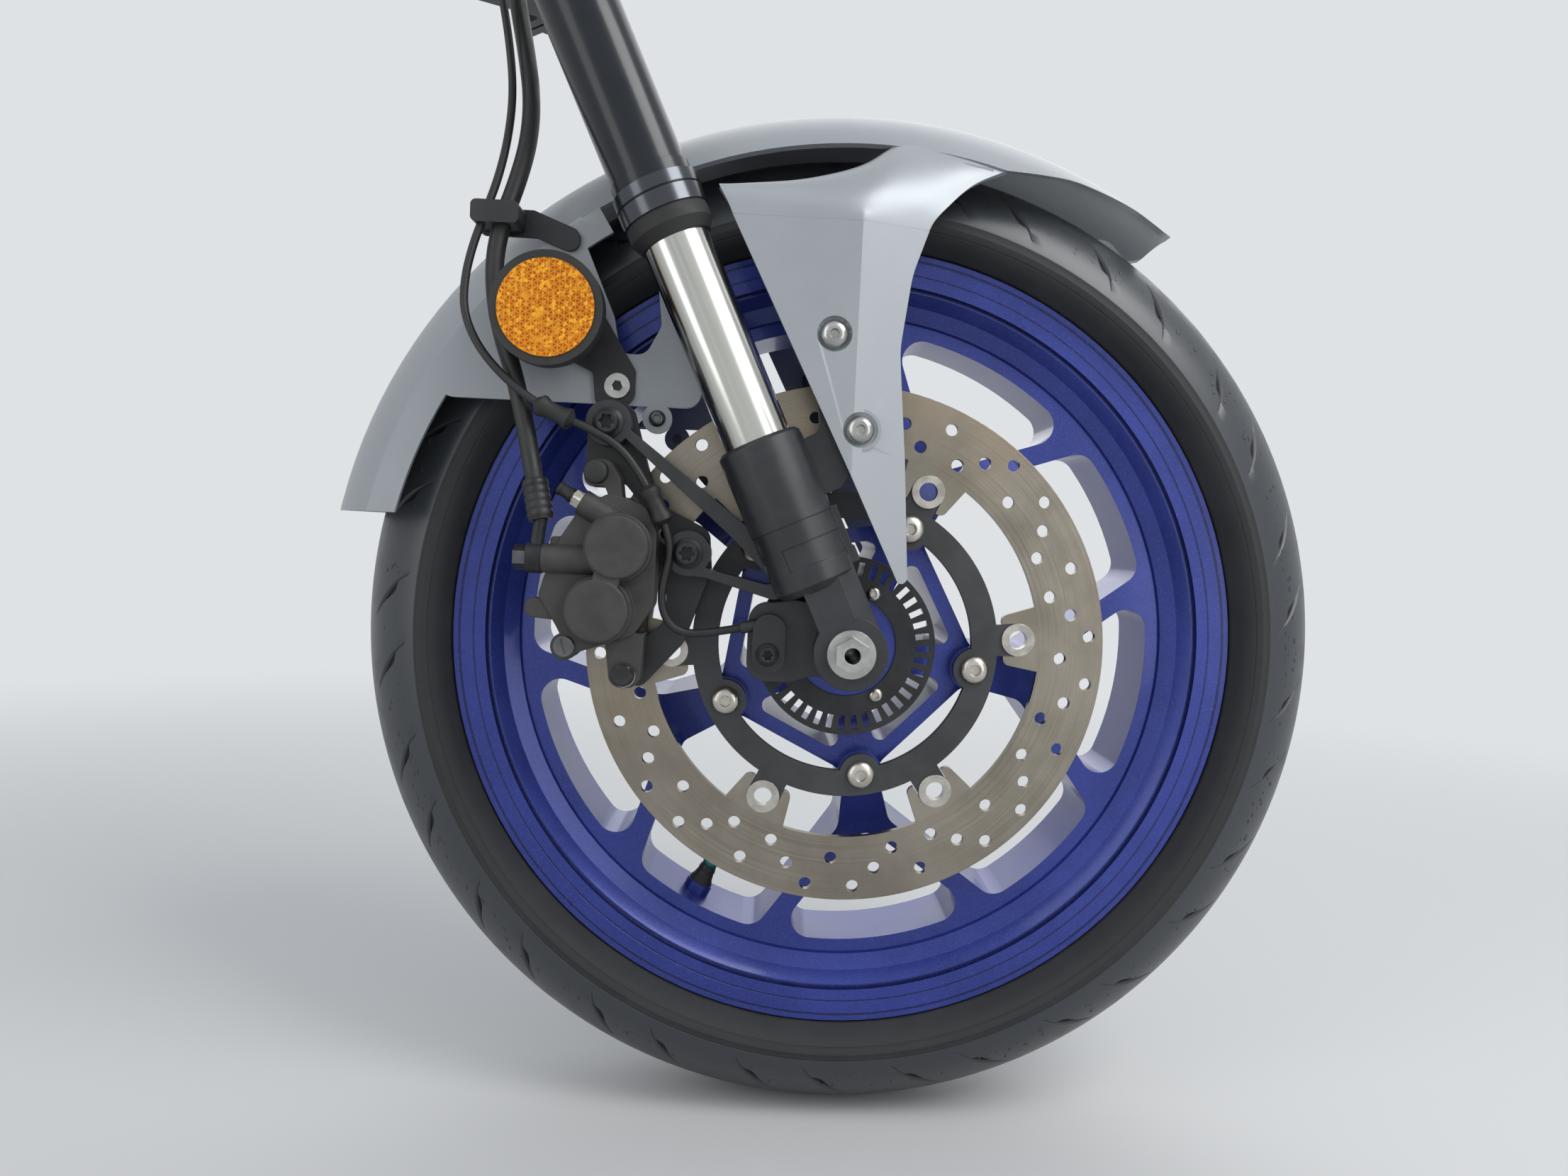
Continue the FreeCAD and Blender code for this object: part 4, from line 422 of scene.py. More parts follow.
finish("black_plastic", (0.012, 0.012, 0.012), (0.019, 0.019, 0.019), 0.42, 0.56, 40, 2000, 0.02)
finish("hose_rubber", (0.008, 0.008, 0.008), (0.014, 0.014, 0.014), 0.42, 0.6, 50, 2000, 0.02)
finish("cap_alloy", (0.1, 0.1, 0.105), (0.16, 0.16, 0.17), 0.25, 0.35, 40, 1500, 0.01, metallic=0.9)
finish("frame_paint", (0.014, 0.014, 0.016), (0.022, 0.022, 0.024), 0.35, 0.45, 20, 2400, 0.02, edge=0.9)
for part in frame["record"]["subparts"]:
    solid = SOLIDS[part["node"]]
    solid.data.materials.clear()
    solid.data.materials.append(FINISHES[part["material_slot"]])
for name, slot in (("hose_union", "ring_steel"), ("banjo_bolt", "cap_alloy")):
    SOLIDS[name].data.materials[0] = FINISHES[slot]
for piece in (hose, lead):
    piece.data.materials.append(FINISHES["hose_rubber"])
print(len(FINISHES), "finishes")

# %% [markdown]
# The rim is turned after casting, so its side shows bands: a lip, a flat, a step, and fine grooves where
# the tool stopped. Each groove is carved at its radius, and its line is darkened as painted shade in the
# groove. A metallic paint also holds tiny flakes, so a random value in each very small cell makes the
# paint glitter.

# %% The wheel's paint
RIM_GROOVES = ((228.4, 0.35, 0.6), (212.2, 0.5, 0.8), (220.0, 0.2, 0.25), (233.4, 0.3, 0.4))
paint = FINISHES["wheel_paint"]
tree = paint.node_tree
radius, turn_about = axle_space(tree)
for middle, half_width, depth in RIM_GROOVES:
    line = groove(paint, radius, middle, half_width, 0.35, depth)
    # each groove's line is darkened: painted shade in the groove
    mix_into(paint, line, 0.7, Base_Color=(0.004, 0.006, 0.03))
flakes = ramp(tree, cells(tree, 1600.0, 0), 0.8, 1.0)
mix_into(paint, flakes, 0.35, Base_Color=(0.07, 0.11, 0.48))
print("rim grooves at", [middle for middle, half_width, depth in RIM_GROOVES])

# %% [markdown]
# A sport tyre's tread is smooth with a faint sheen, and its side wall is duller and darker. The two meet
# in a thin line at the shoulder. Here the radius alone tells them apart. The tread's lighter, bluer colour
# is partly its own grey and partly a painted reflection of the sky. The grooves get painted shade, darker
# with depth, by a mark that the tyre's own mesh carries in its hollows.

# %% The tyre's two surfaces
SHOULDER_R, WALL_LINE_R = 251.0, 243.0
rubber = FINISHES["tyre_rubber"]
tree = rubber.node_tree
radius, turn_about = axle_space(tree)
tread = ramp(tree, radius, SHOULDER_R - 0.4, SHOULDER_R + 1.2)
# the tread's lower roughness is real; its lighter bluish colour is partly a painted sky reflection
mix_into(rubber, tread, Base_Color=(0.036, 0.04, 0.046), Roughness=0.36)
scrubbed = ramp(tree, noise(tree, piece_space(tree), 60.0, 8.0), 0.5, 0.7)
worn = maths(tree, "MULTIPLY", scrubbed, ramp(tree, radius, 262.0, 285.0))
mix_into(rubber, worn, 0.6, Base_Color=(0.06, 0.062, 0.066), Roughness=0.6)
for middle in (SHOULDER_R, WALL_LINE_R):
    groove(rubber, radius, middle, 0.25, 0.3, 0.4)
# painted shade in the tread's grooves, darker where they are deeper
groove_shade_by_depth = node(tree, "ShaderNodeAttribute", attribute_name="hollow").outputs["Fac"]
mix_into(rubber, ramp(tree, groove_shade_by_depth, 0.25, 0.9), Base_Color=(0.0035, 0.0035, 0.004), Roughness=0.85)
print("tread begins at radius", SHOULDER_R)

# %% [markdown]
# The pads leave fine scratches that run round the disc. Noise that is very close along the radius and
# very long round the axle makes such rings. Heat leaves a faint straw colour in patches.

# %% The disc's scratches
SWEPT_FROM, SWEPT_TO = 110.0, 113.0
steel = FINISHES["disc_steel"]
tree = steel.node_tree
radius, turn_about = axle_space(tree)
rings = node(tree, "ShaderNodeCombineXYZ", {0: maths(tree, "MULTIPLY", radius, 2.6),
                                            1: maths(tree, "MULTIPLY", turn_about, 0.8)}).outputs[0]
scratch = noise(tree, rings, 1.0, 4.0, 0.7)
swept = ramp(tree, radius, SWEPT_FROM, SWEPT_TO)
carve(steel, maths(tree, "MULTIPLY", scratch, swept), 0.05)
streaks = maths(tree, "MULTIPLY", ramp(tree, scratch, 0.42, 0.66), swept)
mix_into(steel, streaks, 0.55, Base_Color=(0.17, 0.145, 0.11), Roughness=0.24)
heat = ramp(tree, noise(tree, piece_space(tree), 9.0, 2.0), 0.5, 0.72)
mix_into(steel, heat, 0.3, Base_Color=(0.36, 0.27, 0.17))
print("scratches from radius", SWEPT_FROM, "outwards")

# %% [markdown]
# The foot of each outer tube is a bare polished ring with a groove, and the rest is gloss black. The
# height up the fork tells where the ring is. The groove is drawn only as a dark line of painted shade.

# %% The polished ring on the outer tubes
RING_FOOT, RING_HEIGHT, RING_GROOVE = 253.0, 17.0, 262.5
gloss = FINISHES["tube_black"]
height = fork_height(gloss.node_tree)
bare = band(gloss.node_tree, height, RING_FOOT + RING_HEIGHT / 2, RING_HEIGHT / 2 + 0.1, 0.2)
mix_into(gloss, bare, Base_Color=(0.07, 0.075, 0.085), Metallic=0.9, Roughness=0.2)
# the groove is only a dark band: painted shade
line = band(gloss.node_tree, height, RING_GROOVE, 0.3, 0.3)
mix_into(gloss, line, Base_Color=(0.01, 0.01, 0.01), Roughness=0.6)
print("rings from", RING_FOOT, "to", RING_FOOT + RING_HEIGHT)

# %% [markdown]
# A reflector's lens is smooth outside, and moulded behind with small cube corners that send light back.
# From outside they show as a fine net of triangles. Three sets of ridges at sixty degrees make the net.
# The ridges are lightened as painted highlights and the cells' middles darkened as painted shade, and
# some of the small cells flash brighter as painted glints.

# %% The reflector's lens
NET_PITCH = 2.9
lens = FINISHES["amber_lens"]
tree = lens.node_tree
waves = []
for turned in (0, 60, 120):
    forward, up = way(turned)
    along = vectors(tree, "DOT_PRODUCT", piece_space(tree), (forward, 0, up), "Value")
    waves.append(maths(tree, "PINGPONG", maths(tree, "MULTIPLY", along, 1000 / NET_PITCH), 0.5))
net = maths(tree, "MINIMUM", maths(tree, "MINIMUM", waves[0], waves[1]), waves[2])
carve(lens, net, 0.5)
# painted highlights along the net's ridges
mix_into(lens, ramp(tree, net, 0.02, 0.12, 1.0, 0.0), 0.6, Base_Color=(0.9, 0.36, 0.01))
# painted shade in the middles of the cells
mix_into(lens, ramp(tree, net, 0.18, 0.3), Base_Color=(0.2, 0.038, 0.001))
# painted glints: some small cells flash brighter
mix_into(lens, ramp(tree, cells(tree, 620.0, 1), 0.55, 1.0), 0.7, Base_Color=(0.95, 0.48, 0.03))
print("lens net of", NET_PITCH, "mm")

# %% [markdown]
# New pieces are built as meshes from corner points. The helpers below make the mesh, shade it smooth and
# keep edges sharp where two faces meet at a clear angle, as a milled edge does. They also turn a piece
# with modifiers into a plain mesh, and hang a finished piece on its body.

# %% Helpers for meshes
SHARP = math.radians(32)


def linked(name, mesh, material, sharp=SHARP):
    """An object at the origin that shows this mesh with this finish."""
    mesh.shade_smooth()
    mesh.set_sharp_from_angle(angle=sharp)
    mesh.materials.clear()
    mesh.materials.append(material)
    return placed(name, mesh)


def mesh_of(name, corners, faces=()):
    """A mesh from its corners and the faces between them."""
    mesh = bpy.data.meshes.new(name)
    mesh.from_pydata(corners, [], faces)
    mesh.update()
    return mesh


def plain_mesh(piece):
    """The piece's shape with its modifiers applied, as a mesh of its own."""
    scene_graph = bpy.context.evaluated_depsgraph_get()
    return bpy.data.meshes.new_from_object(piece.evaluated_get(scene_graph), depsgraph=scene_graph)


def rides(piece, body, slot, *replaced):
    """Hang the piece on its body and let it stand for solids where it replaces them; the slot is not used."""
    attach(piece, body)
    if replaced:
        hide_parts(*replaced)
    print(piece.name, "has", len(piece.data.polygons), "faces")
    return piece


def tube_faces(rings, count):
    """Faces of a tube of rings with this many corners each, closed at both ends."""
    faces = []
    for low in range(0, (rings - 1) * count, count):
        high = low + count
        for k in range(count):
            following = (k + 1) % count
            faces.append((low + k, low + following, high + following, high + k))
    last = (rings - 1) * count
    return faces + [tuple(range(count))[::-1], tuple(range(last, last + count))]


print("edges are sharp from", round(math.degrees(SHARP)), "degrees")

# %% [markdown]
# The mudguard is one moulding with a satin silver coat. Its shape comes from the measured solid, whose
# mesh is loose triangles. A copy is merged into one skin, so that light flows smoothly over its curves
# and breaks only at its real edges. Its shoulders are cut away here, to be made finer in the next step.

# %% The mudguard
SEAM_Z = 231.0
SHOULDER_OUT, SHOULDER_REAR, SHOULDER_FRONT = 67.3, -90, 80
CREASE = math.radians(13)
skin = SOLIDS["mudguard"].data.copy()
builder = bmesh.new()
builder.from_mesh(skin)
bmesh.ops.remove_doubles(builder, verts=builder.verts, dist=2e-6)
everything = list(builder.verts) + list(builder.edges) + list(builder.faces)
bmesh.ops.bisect_plane(builder, geom=everything, plane_co=at(0, 0, SEAM_Z), plane_no=Z_AXIS, dist=1e-6)
old_shoulders = []
for patch in builder.faces:
    spot = (patch.calc_center_median() - AXLE) / MM
    if spot.z > SEAM_Z and abs(spot.y) > SHOULDER_OUT and SHOULDER_REAR < spot.x < SHOULDER_FRONT:
        old_shoulders.append(patch)
bmesh.ops.delete(builder, geom=old_shoulders, context="FACES")
bmesh.ops.holes_fill(builder, edges=[edge for edge in builder.edges if edge.is_boundary], sides=0)
bmesh.ops.recalc_face_normals(builder, faces=builder.faces)
builder.to_mesh(skin)
builder.free()
for name in [layer.name for layer in skin.uv_layers]:
    skin.uv_layers.remove(skin.uv_layers[name])
rough_skin = linked("rough_skin", skin, FINISHES["guard_paint"], CREASE)
rough_skin.modifiers.new("even_light", "WEIGHTED_NORMAL").keep_sharp = True
skin = plain_mesh(rough_skin)
bpy.data.objects.remove(rough_skin)
rides(placed("guard_skin", skin), "fork", "guard_paint", "mudguard")
print("old shoulder faces taken off:", len(old_shoulders))

# %% [markdown]
# The shoulder that joins the crown to the side plate is the guard's finest curve: a lip that rises as a
# scoop, then rolls over into the crown. Few well placed points make the smoothest surface, so it is a
# small cage of points in columns from the rear to the front, each running from the lip or crown down to
# the plate. Subdivision rounds the cage, and a crease keeps the plate's fold sharp at its foot.

# %% The mudguard's shoulders
SHOULDER_CAGE = (  # forward, outward, up, in millimetres from the axle
    ((-82, 97, 247.3), (-81.5, 98.8, 246), (-80, 99.8, 243),
     (-77, 100, 238), (-75.2, 100, 234.5), (-73.8, 100, 231)),
    ((-60, 92.5, 251), (-60, 95.5, 249.3), (-59, 98.2, 246),
     (-57, 100, 239.5), (-55, 100, 235), (-54, 100, 231)),
    ((-40, 87.5, 254.5), (-40, 92, 252.3), (-38.5, 96, 248.5),
     (-37, 99.6, 241), (-35.6, 100, 235.5), (-35, 100, 231)),
    ((-19, 80, 262), (-19, 86, 259), (-18, 92.3, 253.5),
     (-17, 98.3, 244), (-16.3, 100, 236.5), (-16, 100, 231)),
    ((1, 73, 271), (1, 81, 266.5), (0, 89, 259),
     (-2, 96.8, 247), (-3.8, 99.9, 237), (-4, 100, 231)),
    ((17, 60.5, 290.5), (16, 69, 281.5), (14.5, 80, 271),
     (12, 91.5, 253), (9.5, 95.0, 237), (9, 95.27, 231)),
    ((38, 60.5, 288), (37, 68.3, 279.5), (33.5, 77, 269),
     (26.5, 87.8, 250.5), (21.5, 90.6, 237), (20, 91.26, 231)),
    ((60, 60.5, 284.3), (56, 67.6, 275.8), (48, 74.5, 266.5),
     (36, 84.3, 248.5), (28.5, 88.0, 237), (26.5, 88.9, 231)),
    ((86, 60.5, 277.5), (76, 67, 271), (58, 70.5, 263),
     (44.5, 81.5, 247), (35.5, 85.6, 237), (33.33, 86.41, 231)),
)
FOLD_COLUMN = 4
GUARD_WALL = 2.8


def shoulder(side):
    """One shoulder: a cage given a wall and rounded by subdivision."""
    wide, high = len(SHOULDER_CAGE), len(SHOULDER_CAGE[0])
    corners = [at(x, side * y, z) for column in SHOULDER_CAGE for x, y, z in column]
    faces = []
    for i in range(wide - 1):
        for j in range(high - 1):
            ring = (i * high + j, i * high + j + 1, (i + 1) * high + j + 1, (i + 1) * high + j)
            faces.append(ring if side == RIGHT else ring[::-1])
    cage = mesh_of("shoulder_cage", corners, faces)
    last = (wide - 1) * high
    foot = high - 1
    fold = {FOLD_COLUMN * high + foot - 1, FOLD_COLUMN * high + foot}
    sharp_lines = [set(range(foot, wide * high, high)), set(range(high)), set(range(last, last + high)), fold]
    creases = cage.attributes.new("crease_edge", "FLOAT", "EDGE")
    for edge in cage.edges:
        creases.data[edge.index].value = float(any(set(edge.vertices) <= line for line in sharp_lines))
    pins = cage.attributes.new("crease_vert", "FLOAT", "POINT")
    for corner in (0, foot, last, last + foot):
        pins.data[corner].value = 1.0
    made = linked("shoulder_cage", cage, FINISHES["guard_paint"])
    wall = made.modifiers.new("wall", "SOLIDIFY")
    wall.thickness, wall.offset, wall.use_even_offset = GUARD_WALL * MM, -1.0, True
    rounded = made.modifiers.new("rounded", "SUBSURF")
    rounded.levels = rounded.render_levels = 3
    rounded.boundary_smooth = "PRESERVE_CORNERS"
    mesh = plain_mesh(made)
    bpy.data.objects.remove(made)
    mesh.name = "guard_shoulder_" + "rl"[side == LEFT]
    rides(linked(mesh.name, mesh, FINISHES["guard_paint"]), "fork", "guard_paint")


for side in BOTH_SIDES:
    shoulder(side)

# %% [markdown]
# The tread is the tyre's face. Each groove starts as a point near the middle, swells like a sickle, ends
# bluntly, and runs out in a thin tail. Modelling them as true hollows needs mesh lines that follow their
# edges. So each row across the tyre has its own column angles: the columns crowd at the grooves and
# spread between them, and the crown joins the two sides, whose grooves are half a pitch apart.

# %% The tread's rule
CROWN_R = 55.5
CROWN_CENTRE = TYRE_R - CROWN_R
SHOULDER_PHI = 79.1
PITCHES = 17
PITCH = 360 / PITCHES
FIRST_GROOVE = 52.4
RIGHT_STEP, LEFT_STEP, LEFT_LAG = 12.1, 9.08, 1.51
GROOVE_START, GROOVE_SPAN, GROOVE_LEAN, GROOVE_BULGE = 39.0, 30.0, 6.2, 0.75
GROOVE_DEPTH, GROOVE_WALL, HAIRLINE, DEEP_WIDTH = 4.6, 0.7, 0.5, 1.9
GROOVE_WIDTHS = ((0, 0.5), (0.1, 2.2), (0.3, 4.6), (0.5, 6.6), (0.62, 7.2), (0.68, 6.4), (0.72, 2.4),
                 (0.78, 1.8), (0.94, 1.5), (1.0, 0.5))
FRONTS = (  # where the two grooves of a pitch and the next pitch begin, on the right side and on the left
    (0, PITCH / 2 - LEFT_STEP), (RIGHT_STEP, RIGHT_STEP - LEFT_LAG), (PITCH, PITCH + LEFT_LAG))


def between(table, t):
    """The value at t in a table of pairs, on straight lines between them."""
    for (t0, v0), (t1, v1) in zip(table, table[1:]):
        if t <= t1:
            return v0 + (v1 - v0) * (t - t0) / (t1 - t0)
    return table[-1][1]


def kept(value):
    """The value, kept between nought and one."""
    return min(max(value, 0.0), 1.0)


def row_columns(phi):
    """Angle and depth of every column on the row at this angle across the crown."""
    along = kept((abs(phi) - GROOVE_START) / GROOVE_SPAN)
    inside = GROOVE_START <= abs(phi) <= GROOVE_START + GROOVE_SPAN
    width = between(GROOVE_WIDTHS, along) if inside else HAIRLINE
    depth = GROOVE_DEPTH * kept((width - HAIRLINE) / (DEEP_WIDTH - HAIRLINE))
    lean = -GROOVE_LEAN * along - GROOVE_BULGE * math.sin(math.pi * along)
    share = kept((phi + GROOVE_START) / (2 * GROOVE_START))
    per_mm = math.degrees(1 / (CROWN_CENTRE + CROWN_R * way(phi)[0]))
    wall = min(width * 0.3, GROOVE_WALL) * per_mm
    columns = []
    for k in range(PITCHES):
        first = FIRST_GROOVE + k * PITCH - RIGHT_STEP
        fronts = [first + lean + right + (left - right) * share for right, left in FRONTS]
        for front, following, count in ((fronts[0], fronts[1], 8), (fronts[1], fronts[2], 6)):
            rear = front + width * per_mm
            columns += [(front, 0.0), (front + wall, depth), (rear - wall, depth), (rear, 0.0)]
            columns += [(rear + (following - rear) * i / count, 0.0) for i in range(1, count)]
    return columns


def plain_columns(phi):
    """The same columns without their grooves."""
    return [(angle, 0.0) for angle, depth in row_columns(phi)]


print(len(row_columns(50)), "columns round the tyre")

# %% [markdown]
# The section runs from one bead over the crown to the other bead and back inside, so the mesh closes on
# itself. The bead's lip leans over the rim's flange, and a small step marks the shoulder. Two marks stay
# on the mesh: where the tread is scrubbed in corners, and how deep each corner of a groove lies.

# %% The tyre
SIDE = ((247.0, 54.5), (244.5, 53.9), (242.0, 52.6), (239.6, 50.6), (237.6, 48.2), (236.0, 45.6),
        (234.6, 43.2), (233.5, 41.4), (233.15, 40.6), (233.15, 35.45), (218.45, 34.85), (218.45, 24.0),
        (236.0, 40.0), (251.0, 47.0), (262.0, 41.0), (274.0, 24.0), (281.0, 0.0))
GROOVE_ROWS = (0, 0.04, 0.1, 0.2, 0.3, 0.4, 0.5, 0.57, 0.62, 0.65, 0.68, 0.7, 0.72, 0.75, 0.8, 0.88, 0.94, 1)
STEP_PHI, STEP_DEPTH = 75, 0.35
SCRUB_FROM, SCRUB_TO = 50, 62
FULL_HOLLOW = 1.5
half_row = [GROOVE_START * k / 7 for k in range(7)]
half_row += [GROOVE_START + GROOVE_SPAN * step for step in GROOVE_ROWS]
half_row += [71.5, 73.5, 74.6, 75.2, 76.5, 78.0]
rows = [(plain_columns(-SHOULDER_PHI), r, -y, 0.0) for r, y in SIDE[-2::-1]]
for phi in [-phi for phi in half_row[:0:-1]] + half_row:
    round_r = CROWN_R - (STEP_DEPTH if abs(phi) > STEP_PHI else 0.0)
    inward, outward = way(phi)
    columns = [(angle, depth * inward) for angle, depth in row_columns(phi)]
    scrubbed = float(SCRUB_FROM <= abs(phi) <= SCRUB_TO)
    rows.append((columns, CROWN_CENTRE + round_r * inward, round_r * outward, scrubbed))
rows += [(plain_columns(SHOULDER_PHI), r, y, 0.0) for r, y in SIDE[:-1]]
rows.append((plain_columns(0), *SIDE[-1], 0.0))
corners, scrub, hollow, faces = [], [], [], []
for columns, r, y, scrubbed in rows:
    for angle, depth in columns:
        forward, up = way(angle)
        corners.append(at((r - depth) * forward, y, (r - depth) * up))
        scrub.append(scrubbed if depth == 0 else 0.0)
        hollow.append(min(depth / FULL_HOLLOW, 1.0))
count = len(rows[0][0])
for i in range(len(rows)):
    below, above = i * count, (i + 1) % len(rows) * count
    for k in range(count):
        following = (k + 1) % count
        faces.append((below + k, above + k, above + following, below + following))
tyre = linked("tread_tyre", mesh_of("tread_tyre", corners, faces), rubber)
for name, values in (("scrub", scrub), ("hollow", hollow)):
    tyre.data.attributes.new(name, "FLOAT", "POINT").data.foreach_set("value", values)
rides(tyre, "wheel", "tyre_rubber", "tyre")

# %% [markdown]
# Bolts, nuts, caps and collars are turned parts: rings of points stacked along an axis. A ring is round
# unless it is named as six-sided, star-shaped, knurled or a narrow slot, so the same rule makes a head
# and the socket in it.

# %% Stacked rings
RING_POINTS = 36
HEX, STAR, SLOT, KNURL = "hex", "star", "slot", "knurl"


def reach_at(angle, shape=None):
    """How far this outline reaches at an angle, for a size of one."""
    if shape == HEX:
        return 1 / math.cos((angle + math.pi / 6) % (math.pi / 3) - math.pi / 6)
    if shape == STAR:
        return 1 + 0.16 * math.cos(6 * angle)
    if shape == SLOT:
        return min(1 / max(abs(math.cos(angle)), 1e-6), 0.2 / max(abs(math.sin(angle)), 1e-6))
    if shape == KNURL:
        return 1 + 0.035 * math.cos(18 * angle)
    return 1.0


def stack(name, rings, material, spot=None, facing=None):
    """A closed piece from rings of height and radius, standing on a place or at the origin."""
    corners = []
    for height, radius, *shape in rings:
        for k in range(RING_POINTS):
            angle = math.tau * k / RING_POINTS
            reach = radius * reach_at(angle, *shape) * MM
            corners.append(Vector((reach * math.cos(angle), reach * math.sin(angle), height * MM)))
    if spot is not None:
        stand = facing.to_track_quat("Z", "X").to_matrix()
        corners = [stand @ corner + spot for corner in corners]
    return linked(name, mesh_of(name, corners, tube_faces(len(rings), RING_POINTS)), material)


def button_head(diameter, height, socket):
    """Rings of a low domed head with a six-sided socket, as on a cap screw."""
    r = diameter / 2
    return [(-0.4, r), (height * 0.18, r), (height * 0.55, r * 0.93),
            (height * 0.85, r * 0.74), (height, r * 0.5), (height, socket * 1.12),
            (height - 0.3, socket, HEX), (height * 0.25, socket, HEX), (height * 0.2, socket * 0.4)]


def flange_head(diameter, flange, height, socket):
    """Rings of a tall head on a flange with a star socket."""
    r = diameter / 2
    return [(-0.3, flange / 2), (1.0, flange / 2), (2.0, r + 0.8), (2.6, r),
            (height - 0.8, r), (height, r - 0.8), (height, socket + 0.5),
            (height - 0.4, socket, STAR), (height - 4, socket, STAR), (height - 4.2, 0.6)]


def hex_head(flats, height):
    """Rings of a plain six-sided head with a chamfered top."""
    r = flats / 2
    return [(-0.3, r * 1.2), (0.8, r * 1.2), (0.9, r, HEX), (height - 0.6, r, HEX),
            (height, r * 0.94), (height - 0.4, r * 0.55), (height - 0.5, 0.4)]


def flush_head(diameter, socket):
    """Rings of a countersunk head with a socket."""
    r = diameter / 2
    return [(-0.5, r - 0.6), (0.6, r), (1.1, r - 0.5), (1.1, socket * 1.2),
            (0.9, socket, HEX), (-0.3, socket, HEX), (-0.4, 0.5)]


def plug_head(diameter):
    """Rings of a flat plug with a slot."""
    r = diameter / 2
    return [(-0.4, r), (0.8, r), (1.3, r - 0.6), (1.3, r * 0.8),
            (1.25, r * 0.7, SLOT), (0.1, r * 0.7, SLOT), (0.05, 0.4, SLOT)]


print("head shapes ready")

# %% [markdown]
# The same fastener repeats at many places, which is work for Geometry Nodes. The tree takes a cloud of
# places, each with its own direction, and stands one head on each. Heads turn by chance about their own
# axis, as real ones do, from a fixed seed. The tree is baked to a plain mesh before it rides on a body.

# %% A tree that stands heads on places


def new_tree(name, **kinds):
    """A Geometry Nodes tree with these named inputs, and their sockets."""
    tree = bpy.data.node_groups.new(name, "GeometryNodeTree")
    for label, kind in {"Geometry": "Geometry", **kinds}.items():
        tree.interface.new_socket(name=label, in_out="INPUT", socket_type="NodeSocket" + kind)
    tree.interface.new_socket(name="Geometry", in_out="OUTPUT", socket_type="NodeSocketGeometry")
    return tree, node(tree, "NodeGroupInput").outputs


def end_tree(tree, instances, paint):
    """Make the instances real, give them their finish and hand them out."""
    real = node(tree, "GeometryNodeRealizeInstances", {0: instances})
    painted = node(tree, "GeometryNodeSetMaterial", {"Geometry": real.outputs[0], "Material": paint})
    node(tree, "NodeGroupOutput", {"Geometry": painted.outputs[0]})
    return tree


def heads_tree():
    """The tree that stands one head on each place."""
    tree, given = new_tree("heads_on_places", Head="Object", Size="Float", Seed="Int", Finish="Material")
    facing = node(tree, "GeometryNodeInputNamedAttribute", {"Name": "facing"},
                  data_type="FLOAT_VECTOR").outputs["Attribute"]
    stand = node(tree, "FunctionNodeAlignRotationToVector", {"Vector": facing}, axis="Z").outputs[0]
    chance = node(tree, "FunctionNodeRandomValue", {2: 0.0, 3: math.tau, 8: given["Seed"]},
                  data_type="FLOAT").outputs[1]
    spin = node(tree, "FunctionNodeAxisAngleToRotation", {"Axis": (0, 0, 1), "Angle": chance}).outputs[0]
    turned = node(tree, "FunctionNodeRotateRotation", {0: stand, 1: spin}, rotation_space="LOCAL").outputs[0]
    head = node(tree, "GeometryNodeObjectInfo", {"Object": given["Head"]}).outputs["Geometry"]
    stood = node(tree, "GeometryNodeInstanceOnPoints",
                 {"Points": given["Geometry"], "Instance": head, "Rotation": turned, "Scale": given["Size"]})
    return end_tree(tree, stood.outputs[0], given["Finish"])


def baked(holder, tree, **given):
    """Run the tree on the holder's mesh and return the plain mesh that it makes."""
    modifier = holder.modifiers.new("grow", "NODES")
    modifier.node_group = tree
    for item in tree.interface.items_tree:
        if item.in_out == "INPUT" and item.name in given:
            modifier[item.identifier] = given[item.name]
    mesh = plain_mesh(holder)
    holder.modifiers.remove(modifier)
    return mesh


HEADS = heads_tree()


def set_of_heads(name, rings, places, slot, seed=1, body="fork", paint=None):
    """One piece with a head on each place, a place being a point and the direction that it faces."""
    material = FINISHES[paint or slot]
    pattern = stack(name + "_pattern", rings, material)
    cloud = mesh_of(name + "_places", [spot for spot, facing in places])
    facings = cloud.attributes.new("facing", "FLOAT_VECTOR", "POINT")
    for k, (spot, facing) in enumerate(places):
        facings.data[k].vector = facing
    holder = placed(name + "_holder", cloud)
    mesh = baked(holder, HEADS, Head=pattern, Size=1.0, Seed=seed, Finish=material)
    bpy.data.objects.remove(holder)
    bpy.data.objects.remove(pattern)
    mesh.name = name
    rides(linked(name, mesh, material), body, slot)


print("tree with inputs", [item.name for item in HEADS.interface.items_tree])

# %% [markdown]
# A bolt belongs on a surface, so each head is dropped onto its solid like a plumb bob: six rays round the
# head's rim look for the solid, and the head sits on the highest of them.

# %% Seats found on the solids
SURFACES = {}
DROP = 0.2
RAY_TURN = 0.3


def seat(solid, spot, side, reach):
    """The place under a spot on one side of the solid, with the direction that a head faces there."""
    facing = Y_AXIS * side
    if solid not in SURFACES:
        mesh = SOLIDS[solid].data
        SURFACES[solid] = BVHTree.FromPolygons([v.co.copy() for v in mesh.vertices],
                                               [tuple(p.vertices) for p in mesh.polygons])
    level = facing.orthogonal().normalized()
    heights = []
    for k in range(6):
        off = Matrix.Rotation(math.tau * k / 6 + RAY_TURN, 3, facing) @ level * reach * MM
        hit = SURFACES[solid].ray_cast(spot + facing * DROP + off, -facing)[0]
        if hit is not None:
            heights.append((hit - spot).dot(facing))
    if not heights:
        raise ValueError("no seat on " + solid)
    return spot + facing * max(heights), facing


def seats_round(solid, radius, first, count, reach):
    """Seats on the right, spread evenly on a circle about the axle from a first angle."""
    ways = [way(first + 360 / count * k) for k in range(count)]
    return [seat(solid, at(radius * forward, 0, radius * up), RIGHT, reach) for forward, up in ways]


